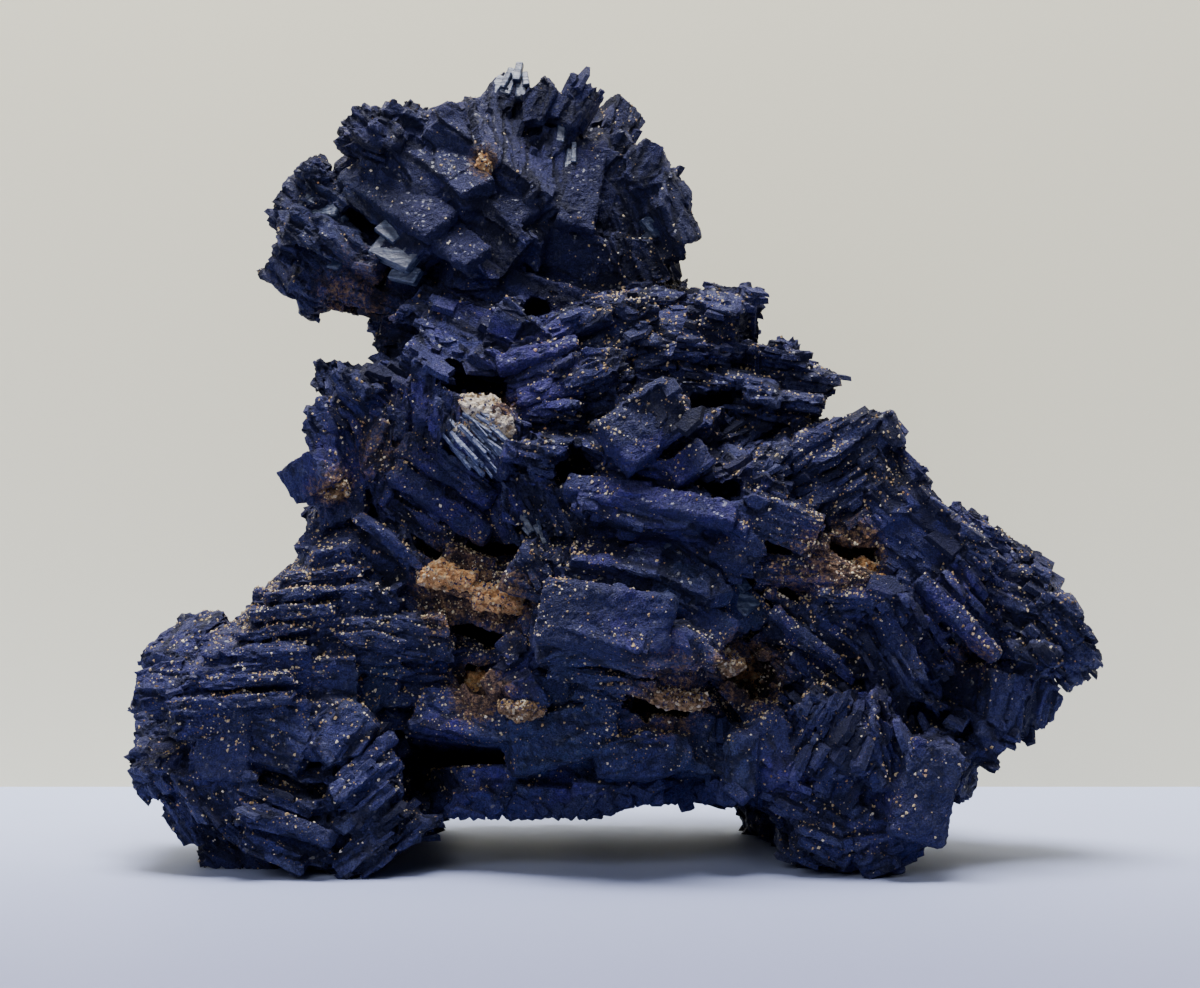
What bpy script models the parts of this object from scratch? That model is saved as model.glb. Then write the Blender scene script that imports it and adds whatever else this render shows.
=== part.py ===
"""Azurite specimen: a craggy cluster of tabular azurite crystals that stands on its own feet.

Run it with: blender --background --python part.py
The solid is one piece, as it grew. Books of thick plates give the mass, stacks of flat crystals
grow out of them, and crystal-sided hollows are cut between the stacks.

The crystals are laid out on a front elevation: x to the right of the middle and z above the
ground, in millimetres, as an eye at EYE sees them on the plane of zero depth. A growth that sits
nearer or further away lies on the same line of sight. Depth runs along +Y, away from the eye.
"""

import math
import random

import bmesh
import bpy
from mathutils import Euler, Matrix, Vector
from mathutils.bvhtree import BVHTree

# Driving dimensions, in millimetres.
SPECIMEN_WIDTH = 97.0
ELEVATION_WIDTH = 97.0  # the width of the front elevation that the places below are laid out on
EYE = Vector((-1.2, -300.0, 39.0))
TRIM_RINGS = (  # depth, and the share of the outline that the mass fills there
    (-40.0, 0.60),
    (-16.0, 0.90),
    (-4.0, 1.0),
    (12.0, 1.0),
    (24.0, 0.92),
    (44.0, 0.70),
)
ROOT = 2.4  # how far a crystal is rooted below the surface that it grows from
PROUD = 0.55  # share of a crystal's thickness that stands proud of that surface
SETTLING = 0.4  # how far a crystal leans over to the way the mass faces
RIM_SPACING = 8.0
RIM_INSET = 0.9
RIM_SUNK = 1.5
ARCH = (-18.0, 14.0, 9.0)  # left end, right end and height of the arch, whose rim stays bare
RIM_FOOT = 3.0  # no crystals grow along the outline below this height
OUTCROPS = 60  # spread over the sides, top and back, but not where the surface faces past these
FRONT = -0.35
UNDERSIDE = -0.6
LOWEST_OUTCROP = 4.0
TRIANGLES = 9600  # the crystals' smallest chips are merged down to this many
WELD = 0.002
CHIPPED = 0.08  # how far the corners of a thick plate are off, as a share of its half width
UNEVEN = 0.05  # the same for the corners of a crystal, as a share of its width
TAPER = 0.75  # how strongly a book of plates narrows towards its outer plates
PLATE_SWING = 6.0  # degrees that the plates of a book are out of line with each other
WOBBLE = 4.0  # degrees that the crystals of a stack are out of line with each other
BENCH = 30.0  # thickness of the slab that grinds the feet flat
GROUND = 0.35  # corners this near the bench are ground down to it
MIDDLE_X = 0.21  # the middle of the finished piece, which becomes the origin
MIDDLE_Y = 5.94

UNIT = 0.001 * SPECIMEN_WIDTH / ELEVATION_WIDTH
BODY = "azurite_cluster"
SOLVER = "MANIFOLD"  # the exact solver leaves open edges where so many crystals cross

# The outline of the mass on the front elevation, clockwise from the left toe. The crystals that grow
# on the mass stand about a millimetre outside it.
OUTLINE = (
    # left foot and the long slope above it
    (-27.0, -1.6), (-34.5, 0.2), (-39.5, 1.2), (-43.4, 3.4), (-45.6, 7.0), (-47.8, 9.4),
    (-47.8, 13.0), (-47.2, 18.6), (-44.4, 20.6), (-39.4, 22.9), (-36.0, 25.4), (-34.0, 27.9),
    (-31.4, 30.0), (-30.0, 33.6),
    # flank, and the notch under the head
    (-29.4, 36.0), (-29.8, 42.0), (-29.4, 45.0), (-27.6, 46.8), (-27.0, 48.8), (-23.4, 49.6),
    (-23.2, 52.2), (-25.6, 54.6), (-30.6, 55.4), (-33.6, 58.2),
    # head
    (-33.2, 62.4), (-31.2, 68.0), (-28.6, 71.5), (-25.6, 74.0), (-18.2, 74.6), (-14.4, 76.2),
    (-9.0, 76.4), (-3.0, 75.6), (0.6, 73.8), (4.0, 69.6), (6.2, 66.2), (6.6, 62.0),
    # the right shoulder, stepping down
    (7.6, 57.6), (11.6, 54.9), (12.2, 52.0), (17.6, 50.0), (19.4, 47.6), (19.4, 43.8),
    (25.2, 43.6), (27.6, 41.6), (31.0, 36.6), (34.6, 32.6), (39.2, 31.4), (43.4, 27.0),
    # wing tip and back to the right foot
    (46.8, 23.8), (45.8, 20.2), (43.4, 18.8), (41.2, 14.6), (39.2, 11.8), (35.4, 10.0),
    (33.4, 6.6), (32.2, 3.0), (29.6, 0.8), (25.0, -1.2), (20.4, -0.4), (14.4, 3.0),
    # the arch between the feet
    (13.0, 6.0), (5.0, 6.4), (-1.0, 5.8), (-10.0, 5.2), (-17.0, 5.4), (-19.2, 2.8), (-22.4, 0.0),
)


# ---------------------------------------------------------------- scene and helpers


def clear_scene():
    for obj in list(bpy.data.objects):
        bpy.data.objects.remove(obj)


def new_collection(name):
    collection = bpy.data.collections.new(name)
    bpy.context.scene.collection.children.link(collection)
    return collection


def helper_from(bm, name, collection):
    """A closed shape that only takes part in a Boolean."""
    mesh = bpy.data.meshes.new(name)
    bm.to_mesh(mesh)
    bm.free()
    obj = bpy.data.objects.new(name, mesh)
    obj.hide_render = True
    obj.display_type = "WIRE"
    collection.objects.link(obj)
    return obj


def on_sightline(x, z, depth):
    """The point at this depth that the eye sees at (x, z) of the front elevation."""
    seen = Vector((x, 0.0, z))
    return EYE + (seen - EYE) * ((depth - EYE.y) / -EYE.y)


def turned(roll, lean, turn):
    """A tablet's rotation: its long axis rolled in the elevation, then its face leant up and turned right."""
    face_the_eye = Matrix.Rotation(math.radians(90), 4, "X")
    rolled = Matrix.Rotation(math.radians(-roll), 4, "Y")
    leant = Matrix.Rotation(math.radians(-lean), 4, "X")
    swung = Matrix.Rotation(math.radians(turn), 4, "Z")
    return swung @ leant @ rolled @ face_the_eye


def boolean(obj, operation, collection):
    modifier = obj.modifiers.new(operation.lower(), "BOOLEAN")
    modifier.operation = operation
    modifier.operand_type = "COLLECTION"
    modifier.collection = collection
    modifier.solver = SOLVER


def evaluated_mesh(obj):
    graph = bpy.context.evaluated_depsgraph_get()
    return bpy.data.meshes.new_from_object(obj.evaluated_get(graph))


def outline_prism(collection):
    """The outline run through the mass along the lines of sight, narrowing to the front and the back."""
    bm = bmesh.new()
    rings = []
    for depth, share in TRIM_RINGS:
        rings.append([bm.verts.new(on_sightline(x * share, z * share, depth)) for x, z in OUTLINE])
    for ring, following in zip(rings, rings[1:]):
        for index in range(len(OUTLINE)):
            after = (index + 1) % len(OUTLINE)
            bm.faces.new((ring[index], ring[after], following[after], following[index]))
    bm.faces.new(rings[0])
    bm.faces.new(rings[-1])
    bmesh.ops.recalc_face_normals(bm, faces=bm.faces)
    return helper_from(bm, "outline", collection)


# ---------------------------------------------------------------- the growths


def knock_corners(bm, amount, rng):
    for vert in bm.verts:
        vert.co.x += rng.uniform(-amount, amount)
        vert.co.y += rng.uniform(-amount, amount)


def plate(middle, reach, axes, rng):
    """A thick plate of a book. Its reach runs along the grain, across it and through half the plate."""
    sides = rng.choice((4, 4, 5))
    bm = bmesh.new()
    narrowed = rng.uniform(0.9, 1.0)
    bmesh.ops.create_cone(bm, cap_ends=True, segments=sides, radius1=1.0, radius2=narrowed, depth=2.0)
    if sides == 4:
        bmesh.ops.rotate(bm, verts=bm.verts, matrix=Matrix.Rotation(math.radians(45), 3, "Z"))
        bmesh.ops.scale(bm, verts=bm.verts, vec=(1.25, 1.25, 1.0))
    knock_corners(bm, CHIPPED, rng)
    bm.transform(Matrix.Translation(middle) @ axes @ Matrix.Diagonal((*reach, 1.0)))
    return bm


def grain_axes(roll, lean):
    """Axes of a book of plates: along the grain, across it, and out of the plates' faces."""
    along = Vector((math.cos(math.radians(roll)), 0.0, math.sin(math.radians(roll))))
    upright = Vector((-along.z, 0.0, along.x))
    face = upright * math.cos(math.radians(lean)) + Vector((0.0, -math.sin(math.radians(lean)), 0.0))
    across = face.cross(along)
    return Matrix((along, across, face)).transposed().to_4x4()


def tablet(size, thickness, rng):
    """A tabular crystal, its face up: four to eight sides, bevelled towards the face, corners uneven."""
    length, width = size
    sides = rng.choice((4, 4, 4, 4, 5, 6))
    bm = bmesh.new()
    bmesh.ops.create_cone(
        bm, cap_ends=True, segments=sides, radius1=0.5, radius2=rng.uniform(0.40, 0.46), depth=thickness
    )
    if sides == 4:
        bmesh.ops.rotate(bm, verts=bm.verts, matrix=Matrix.Rotation(math.radians(45), 3, "Z"))
        bmesh.ops.scale(bm, verts=bm.verts, vec=(math.sqrt(2) * 0.92, math.sqrt(2) * 0.92, 1.0))
    knock_corners(bm, UNEVEN, rng)
    bmesh.ops.scale(bm, verts=bm.verts, vec=(length, width, 1.0))
    return bm


class Growth:
    """The mass and the crystals that grow on it."""

    def __init__(self):
        self.rng = random.Random(20)
        self.blocks = new_collection("blocks")
        self.trimming = new_collection("trimming")
        self.growths = new_collection("growths")
        self.hollows = new_collection("hollows")
        self.mass = None
        self.surface = None
        self.count = 0

    def lump(self, name, at, depth, radii, roll=0.0, lean=0.0, plates=5, into=None):
        """A book of plates, part of the mass. Radii run along the grain, across it and through the book."""
        middle = on_sightline(*at, depth)
        axes = grain_axes(roll, lean)
        out = axes.to_3x3() @ Vector((0.0, 0.0, 1.0))
        for index in range(plates):
            share = (2 * index + 1) / plates - 1
            swell = math.sqrt(1.0 - TAPER * share * share)
            swing = Euler([math.radians(self.rng.uniform(-PLATE_SWING, PLATE_SWING)) for _ in range(3)])
            reach = (
                radii[0] * swell * self.rng.uniform(0.84, 1.06),
                radii[1] * swell * self.rng.uniform(0.84, 1.06),
                radii[2] / plates * self.rng.uniform(1.05, 1.3),
            )
            shift = [r * self.rng.uniform(-0.06, 0.06) for r in radii]
            place = middle + out * (share * radii[2]) + Vector(shift)
            bm = plate(place, reach, axes @ swing.to_matrix().to_4x4(), self.rng)
            helper_from(bm, f"lump_{name}_{index}", into or self.blocks)

    def trim_mass(self):
        """Joins the books, trims them to the outline and keeps the surface that the crystals are set on."""
        outline_prism(self.trimming)
        first = self.blocks.objects[0]
        self.blocks.objects.unlink(first)
        bpy.context.scene.collection.objects.link(first)
        boolean(first, "UNION", self.blocks)
        boolean(first, "INTERSECT", self.trimming)
        self.mass = evaluated_mesh(first)
        bpy.data.objects.remove(first)
        bm = bmesh.new()
        bm.from_mesh(self.mass)
        self.surface = BVHTree.FromBMesh(bm)
        bm.free()

    def met_at(self, x, z):
        """The depth at which the eye meets the mass at (x, z), or nearest to there, and the way it faces."""
        hit, normal = self.surface.ray_cast(EYE, (Vector((x, 0.0, z)) - EYE).normalized())[:2]
        if hit is None:
            hit, normal = self.surface.find_nearest(Vector((x, 0.0, z)))[:2]
        return hit.y, normal

    def crystal(self, name, place, size, thickness):
        self.count += 1
        bm = tablet(size, thickness + ROOT, self.rng)
        sunk = Matrix.Translation((0.0, 0.0, thickness * PROUD - (thickness + ROOT) / 2))
        bm.transform(place @ sunk)
        return helper_from(bm, f"{name}_{self.count}", self.growths)

    def stack(self, name, at, size, thick, roll=0.0, lean=0.0, turn=0.0, count=1, step=(0.0, 0.0), out=0.0):
        """Crystals side by side, each a step further on; out lifts the stack towards the eye."""
        for index in range(count):
            x = at[0] + index * step[0]
            z = at[1] + index * step[1]
            wobble = [self.rng.uniform(-WOBBLE, WOBBLE) for _ in range(3)]
            depth, facing = self.met_at(x, z)
            lie = turned(roll + wobble[0], lean + wobble[1], turn + wobble[2])
            face = lie.to_3x3() @ Vector((0.0, 0.0, 1.0))
            settled = face.rotation_difference(face.lerp(facing, SETTLING)).to_matrix().to_4x4()
            place = Matrix.Translation(on_sightline(x, z, depth - out)) @ settled @ lie
            reach = self.rng.uniform(0.9, 1.1)
            self.crystal(name, place, (size[0] * reach, size[1]), thick)

    def hollow(self, name, at, size, roll=0.0, deep=7.0, lean=0.0, turn=0.0):
        """A ragged, crystal-sided hollow, cut in from the front: a main cut and a smaller one askew to it."""
        middle = on_sightline(*at, self.met_at(*at)[0])
        along = Vector((math.cos(math.radians(roll)), 0.0, math.sin(math.radians(roll))))
        aside = self.rng.choice((-1.0, 1.0))
        for index, (share, slip, skew) in enumerate(((1.0, 0.0, 0.0), (0.62, 0.36 * aside, 24.0 * aside))):
            bm = tablet((size[0] * share, size[1] * (1.6 - 0.6 * share)), 2 * deep * share, self.rng)
            place = Matrix.Translation(middle + along * (slip * size[0]))
            bm.transform(place @ turned(roll + skew, lean, turn))
            helper_from(bm, f"hollow_{name}_{index}", self.hollows)


# ---------------------------------------------------------------- the mass


def lay_mass(growth):
    """The lumps, from the head down, each with the grain of its own plates."""
    growth.lump("head", (-14.5, 67.0), 10.0, (14.0, 11.0, 8.4), roll=-40.0, lean=30.0)
    growth.lump("head_right", (-1.5, 65.5), 12.0, (10.6, 9.0, 8.4), roll=-72.0, lean=20.0)
    growth.lump("head_left", (-27.0, 61.5), 8.0, (7.4, 8.0, 6.0), roll=-24.0, lean=10.0, plates=4)
    growth.lump("head_base", (-6.0, 59.0), 12.0, (14.0, 11.0, 6.0), roll=-14.0, lean=10.0, plates=4)
    growth.lump("neck", (-10.0, 53.0), 9.0, (14.0, 12.0, 6.4), roll=-12.0, lean=12.0, plates=4)
    growth.lump("ridge", (3.0, 51.0), 5.0, (12.0, 13.0, 5.6), roll=-6.0, lean=20.0, plates=4)
    growth.lump("shoulder", (13.0, 47.0), 5.0, (9.0, 11.0, 5.6), roll=-11.0, lean=14.0, plates=5)
    growth.lump("chest_left", (-22.5, 42.0), 5.0, (10.0, 12.0, 7.6), roll=-80.0, lean=12.0, plates=4)
    growth.lump("chest", (-9.5, 42.5), 4.0, (14.0, 15.5, 11.5), roll=-38.0, lean=12.0, plates=6)
    growth.lump("middle", (4.0, 38.0), 2.0, (15.0, 17.0, 11.0), roll=-12.0, lean=24.0, plates=6)
    growth.lump("right_stack", (20.0, 37.0), 3.0, (13.0, 13.0, 8.0), roll=30.0, lean=22.0, plates=5)
    growth.lump("right_slope", (28.0, 33.0), 3.0, (12.0, 12.0, 6.0), roll=-38.0, lean=24.0, plates=4)
    growth.lump("belly", (1.0, 25.5), -2.0, (15.0, 18.0, 9.0), roll=-11.0, lean=28.0, plates=5)
    growth.lump("belly_left", (-13.5, 24.0), 4.0, (10.0, 15.0, 10.0), roll=-14.0, lean=16.0, plates=5)
    growth.lump("belly_low", (-4.0, 13.0), 3.0, (19.0, 16.0, 7.0), roll=-4.0, lean=-8.0, plates=4)
    growth.lump("left_upper", (-27.0, 25.0), 2.0, (13.0, 15.0, 9.0), roll=8.0, lean=16.0, plates=5)
    growth.lump("left_foot", (-34.0, 12.5), -1.0, (14.0, 15.5, 10.6), roll=2.0, lean=14.0, plates=6)
    growth.lump("left_toe", (-27.0, 4.6), -6.0, (8.4, 8.5, 6.0), roll=14.0, lean=8.0, plates=4)
    growth.lump("right_upper", (24.0, 25.0), 1.0, (13.0, 14.5, 9.6), roll=-30.0, lean=16.0, plates=5)
    growth.lump("right_inner", (14.0, 16.0), 3.0, (10.0, 14.0, 8.0), roll=-52.0, lean=8.0, plates=4)
    growth.lump("right_foot", (24.5, 11.5), -1.0, (12.0, 15.5, 9.6), roll=-42.0, lean=14.0, plates=6)
    growth.lump("right_toe", (23.5, 4.0), -6.0, (8.0, 8.0, 5.6), roll=-12.0, lean=6.0, plates=3)
    growth.lump("wing", (39.0, 24.0), 4.0, (8.4, 9.0, 6.4), roll=-46.0, lean=14.0, plates=4)
    growth.lump("wing_low", (36.0, 15.5), 4.0, (7.6, 8.5, 6.4), roll=-70.0, lean=8.0, plates=4)
    growth.lump("throat", (-19.0, 55.0), 10.0, (6.0, 9.0, 3.6), roll=-10.0, lean=6.0, plates=3)
    growth.lump("back_high", (-8.0, 53.0), 18.0, (12.5, 10.0, 9.0), roll=-34.0, lean=-30.0, plates=5)
    growth.lump("back_middle", (3.0, 40.0), 19.0, (15.0, 11.0, 8.6), roll=-14.0, lean=-22.0, plates=5)
    growth.lump("back_left", (-24.0, 29.0), 18.0, (11.0, 10.0, 10.0), roll=40.0, lean=-24.0, plates=5)
    growth.lump("back_right", (16.0, 27.0), 18.0, (16.0, 11.0, 11.0), roll=-34.0, lean=-26.0, plates=5)
    growth.lump("heel_left", (-23.0, 10.0), 19.0, (10.0, 11.0, 10.6), roll=10.0, lean=-14.0, plates=5)
    growth.lump("heel_right", (18.0, 10.0), 19.0, (10.0, 11.0, 10.6), roll=-16.0, lean=-14.0, plates=5)


def lay_rump(growth):
    """The mass that hangs behind the arch, between the heels."""
    behind = {"plates": 4, "into": growth.growths}
    growth.lump("rump_left", (-11.7, 14.8), 21.9, (9.2, 8.8, 6.3), roll=15.7, lean=-15.2, **behind)
    growth.lump("rump", (-2.0, 14.1), 22.9, (9.2, 8.7, 6.2), roll=-6.3, lean=-13.5, **behind)
    growth.lump("rump_right", (8.4, 14.7), 22.3, (9.4, 8.7, 6.3), roll=-11.6, lean=-12.9, **behind)


# ---------------------------------------------------------------- the crystals, as they are seen


def grow_head(growth):
    growth.stack("brow", (-22.0, 64.5), (13.0, 7.5), 2.0, roll=-42, lean=18, turn=-14, out=1.5)
    growth.stack(
        "brow_upper", (-19.5, 69.0), (13.0, 5.5), 2.0, roll=-38, lean=30, turn=-10, count=2, step=(2.6, 0.6)
    )
    growth.stack("cheek", (-13.0, 62.8), (10.0, 7.0), 2.2, roll=-46, lean=12, turn=-6, out=0.8)
    growth.stack(
        "forelock", (-23.5, 73.0), (7.5, 4.5), 1.8, roll=-25, lean=35, turn=-18, count=2, step=(4.2, 0.8)
    )
    growth.stack("crest", (-11.0, 76.0), (6.5, 4.0), 2.2, roll=62, lean=20, count=3, step=(3.6, -0.2))
    growth.stack("crest_tip", (-10.7, 77.8), (4.0, 2.4), 1.4, roll=70, lean=15, turn=10)
    growth.stack("nape", (0.5, 73.2), (6.0, 4.6), 2.4, roll=55, lean=15, turn=20, count=3, step=(2.6, -3.6))
    growth.stack("ear", (6.2, 63.6), (5.0, 4.0), 2.4, roll=-70, turn=25)
    growth.stack("temple", (-5.0, 68.5), (12.0, 6.5), 2.0, roll=78, lean=8, turn=4, count=2, step=(5.2, -2.4))
    growth.stack("jaw", (-4.0, 61.0), (9.0, 6.0), 2.0, roll=-30, lean=-10, count=2, step=(6.6, -1.2))
    growth.stack("snout", (-31.0, 66.2), (6.5, 5.0), 2.4, roll=62, turn=-20)
    growth.stack("snout_low", (-32.3, 59.0), (6.5, 4.6), 2.4, roll=-35, turn=-15, lean=-10)
    growth.stack("lip", (-26.5, 57.2), (10.0, 3.6), 2.4, roll=-14, lean=-25, count=2, step=(3.0, 1.2))
    growth.stack("snout_ledge", (-26.0, 61.5), (7.0, 3.0), 1.6, roll=-30, lean=30)


def grow_chest(growth):
    growth.stack("collar", (-14.8, 53.2), (10.5, 6.0), 2.2, roll=-14, lean=40, turn=-6, out=1.0)
    growth.stack("collar_left", (-20.0, 51.0), (7.0, 5.0), 2.2, roll=-30, lean=30, turn=-14)
    growth.stack("spur", (-29.0, 48.4), (3.6, 2.0), 1.2, roll=-78, turn=-15)
    growth.stack("shoulder_left", (-25.5, 47.4), (6.0, 4.6), 2.4, roll=-24, lean=20, turn=-16)
    growth.stack("flank", (-28.6, 43.4), (6.5, 5.0), 2.4, roll=82, turn=-24, count=2, step=(0.2, -5.2))
    growth.stack("flank_inner", (-23.4, 41.0), (8.5, 3.6), 2.2, roll=72, lean=6, turn=-8)
    growth.stack("fin", (-20.6, 44.4), (6.6, 2.0), 2.4, roll=84, count=2, step=(3.0, -0.6))
    growth.stack("sheaf", (-13.6, 42.0), (8.0, 1.8), 1.6, roll=-48, lean=20, count=3, step=(1.5, 1.2))
    growth.stack("rib", (-15.8, 39.4), (10.5, 2.4), 2.6, roll=-37, lean=10, count=4, step=(-2.0, -2.6))
    growth.stack("shelf", (-6.8, 45.0), (7.4, 2.4), 3.0, roll=-8, lean=12, count=2, step=(-0.6, -4.0))
    growth.stack("wedge", (-9.0, 50.2), (6.6, 2.4), 2.4, roll=24, lean=20, count=3, step=(1.6, -1.7))
    growth.stack("splinter", (-9.4, 33.4), (4.2, 2.4), 2.0, roll=-62, count=2, step=(2.8, 0.4))


def grow_middle(growth):
    growth.stack("cap", (-2.4, 49.0), (9.0, 5.0), 2.4, roll=13, lean=30, count=2, step=(5.2, 1.2))
    growth.stack("block", (3.4, 43.6), (9.0, 7.0), 4.6, roll=36, lean=28, turn=-8, out=2.0)
    growth.stack("slab", (3.0, 34.8), (15.5, 5.0), 2.6, roll=-13, lean=26, out=1.6)
    growth.stack("slab_tip", (11.0, 34.0), (7.0, 2.6), 2.4, roll=-28, lean=22, out=1.2)
    growth.stack("cube", (11.8, 30.4), (3.2, 2.6), 2.4, roll=-24, lean=20, turn=12)
    growth.stack("bulge_top", (0.6, 29.6), (11.5, 5.2), 2.6, roll=-12, lean=38, out=0.8)
    growth.stack("bulge_right", (8.0, 27.4), (9.0, 5.0), 2.6, roll=-32, lean=28, turn=16, out=0.8)
    growth.stack("bulge_face", (-0.8, 24.2), (14.0, 7.0), 2.8, roll=-12, lean=2, turn=-6, out=1.6)
    growth.stack("bulge_low", (6.6, 21.4), (9.5, 4.6), 2.6, roll=-16, turn=12, out=0.8)
    growth.stack("bulge_ledge", (-0.8, 18.6), (13.0, 2.4), 2.6, roll=-9, lean=-22, count=2, step=(2.2, -2.0))
    growth.stack("nub", (11.8, 25.0), (6.0, 5.4), 2.6, roll=-52, lean=14, turn=22)
    growth.stack("peg", (-9.4, 20.8), (4.6, 3.4), 3.0, roll=32, lean=32, turn=-8, out=1.2)
    growth.stack("peg_low", (-8.6, 16.8), (5.0, 4.2), 3.0, roll=-52, lean=4, turn=8, out=0.6)
    growth.stack("saddle", (-12.4, 27.4), (9.0, 3.8), 2.4, roll=-10, lean=42)
    growth.stack("keel", (-5.0, 12.4), (12.0, 6.0), 2.0, roll=10, lean=-8, count=2, step=(8.6, -1.8))
    growth.stack("keel_left", (-14.0, 9.8), (10.0, 7.0), 2.0, roll=-18, turn=-10)
    growth.stack("keel_rim", (-13.0, 6.0), (7.0, 3.0), 2.2, roll=-4, lean=-25, count=4, step=(6.0, 0.4))
    growth.stack("tile", (13.0, 9.8), (7.0, 3.8), 2.6, roll=84, turn=4, out=1.0)


def grow_right(growth):
    growth.stack("ridge_left", (-3.4, 54.0), (9.5, 3.4), 2.6, roll=22, lean=36)
    growth.stack("ridge_top", (4.0, 55.6), (9.5, 3.8), 2.6, roll=5, lean=36)
    growth.stack("ridge_knob", (10.2, 54.6), (6.6, 3.6), 2.8, roll=-12, lean=26)
    growth.stack("ridge_face", (7.0, 51.4), (9.0, 3.6), 2.4, roll=-8, lean=20)
    growth.stack("ledge", (15.6, 50.6), (11.0, 1.6), 2.6, roll=-12, lean=12, count=4, step=(0.5, -2.2))
    growth.stack("step", (12.4, 42.4), (9.0, 3.4), 2.6, roll=28, lean=26, count=3, step=(2.6, -2.6), out=0.5)
    growth.stack(
        "stair", (22.2, 40.6), (11.5, 3.4), 2.6, roll=32, lean=26, count=3, step=(2.2, -3.2), out=0.5
    )
    growth.stack("prow", (25.0, 42.4), (8.0, 4.4), 2.8, roll=18, lean=14)
    growth.stack("prow_edge", (28.2, 39.6), (7.5, 4.4), 2.6, roll=-52, turn=14)
    growth.stack(
        "cliff", (28.8, 34.2), (11.0, 6.5), 2.8, roll=-36, lean=10, turn=8, count=2, step=(4.4, -2.6)
    )
    growth.stack("under_stair", (16.0, 34.2), (10.0, 4.6), 2.4, roll=-22, lean=-8)
    growth.stack("ruff", (20.0, 29.0), (12.0, 3.2), 2.4, roll=-4, lean=44, count=2, step=(5.0, -2.0))
    growth.stack("spike", (37.6, 32.6), (6.4, 2.8), 2.4, roll=-38, lean=10, count=2, step=(1.8, -1.6))
    growth.stack("wing_plate", (39.6, 27.4), (9.0, 5.4), 2.4, roll=-24, lean=16, turn=12)
    growth.stack("wing_tip", (44.6, 24.4), (7.4, 4.4), 2.4, roll=-42, turn=16, count=2, step=(1.6, -3.4))
    growth.stack("wing_under", (42.0, 20.8), (7.0, 2.6), 2.4, roll=-6, lean=-14)
    growth.stack("plume", (34.4, 24.6), (10.0, 2.2), 2.6, roll=-50, lean=6, count=3, step=(2.2, 1.6))
    growth.stack("hip", (31.6, 21.4), (9.0, 2.6), 2.8, roll=-62, turn=6, count=3, step=(-2.6, -1.0))
    growth.stack("tail", (38.8, 15.2), (8.0, 5.4), 2.4, roll=80, turn=12, count=2, step=(3.4, 1.0))
    growth.stack("tail_tip", (37.0, 11.0), (5.4, 3.6), 2.4, roll=-22, lean=-8)


def grow_right_foot(growth):
    growth.stack("riffle", (23.6, 24.4), (9.6, 1.7), 2.6, roll=-39, lean=8, count=6, step=(-1.3, -1.7))
    growth.stack("cobble", (20.6, 10.4), (5.0, 3.6), 2.4, roll=62, count=3, step=(2.9, 1.0))
    growth.stack("cobble_low", (27.2, 14.0), (5.6, 3.2), 2.4, roll=-74, count=2, step=(-0.4, -4.8))
    growth.stack("sail", (31.4, 7.4), (11.0, 6.6), 2.6, roll=74, turn=12, out=0.8)
    growth.stack("hem", (16.4, 3.0), (6.4, 4.0), 2.4, roll=-24, lean=-6, count=3, step=(5.0, -1.4))
    growth.stack("hem_right", (29.0, 1.6), (7.0, 4.2), 2.4, roll=24, lean=-6)


def grow_left_foot(growth):
    growth.stack(
        "strata", (-29.0, 28.6), (11.0, 1.5), 2.4, roll=6, lean=14, turn=-8, count=5, step=(-1.6, -1.9)
    )
    growth.stack(
        "strata_low", (-35.5, 20.2), (13.0, 1.6), 2.4, roll=4, lean=14, turn=-12, count=3, step=(-1.4, -2.2)
    )
    growth.stack("strata_right", (-24.0, 22.0), (9.0, 2.2), 2.4, roll=-8, lean=18, count=3, step=(0.8, -2.8))
    growth.stack("outer", (-44.6, 17.6), (6.4, 4.6), 2.4, roll=20, turn=-34, count=3, step=(-0.4, -4.6))
    growth.stack("panel", (-39.8, 11.6), (9.0, 4.6), 2.4, roll=86, turn=-8)
    growth.stack("panel_right", (-33.4, 11.4), (8.0, 6.0), 2.4, roll=-15, lean=14, out=0.8)
    growth.stack("chevron_left", (-33.0, 6.4), (9.0, 2.4), 2.8, roll=-20, lean=8, count=3, step=(-0.4, -2.6))
    growth.stack("chevron_right", (-25.0, 8.0), (8.4, 2.4), 2.8, roll=38, lean=8, count=3, step=(0.6, -2.6))
    growth.stack("knee", (-26.6, 12.6), (7.4, 5.6), 2.6, roll=40, lean=18, out=0.6)
    growth.stack("sole", (-42.4, 4.0), (7.4, 4.4), 2.4, roll=-54, turn=-14)
    growth.stack("sole_low", (-37.0, 0.8), (10.0, 3.6), 2.4, roll=-9, lean=-8)
    growth.stack("toe", (-24.8, 0.6), (7.6, 4.0), 2.6, roll=16, lean=-6)


def grow_rim(growth):
    """Crystals along the outline, so that it steps in and out as broken crystal does."""
    rng = growth.rng
    left = 0.0
    for (x0, z0), (x1, z1) in zip(OUTLINE, OUTLINE[1:] + OUTLINE[:1]):
        run = math.hypot(x1 - x0, z1 - z0)
        while left < run:
            share = left / run
            inward = Vector((z1 - z0, x0 - x1)) / run * RIM_INSET
            x = x0 + (x1 - x0) * share + inward.x
            z = z0 + (z1 - z0) * share + inward.y
            along = math.degrees(math.atan2(z1 - z0, x1 - x0))
            in_arch = ARCH[0] < x < ARCH[1] and z < ARCH[2]
            if z > RIM_FOOT and not in_arch:
                size = (rng.uniform(3.4, 5.4), rng.uniform(2.4, 3.6))
                roll = along + rng.uniform(-35.0, 35.0)
                lean = rng.uniform(-15.0, 25.0)
                turn = rng.uniform(-20.0, 20.0)
                growth.stack("rim", (x, z), size, 2.6, roll=roll, lean=lean, turn=turn, out=-RIM_SUNK)
            left += RIM_SPACING
        left -= run


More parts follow.
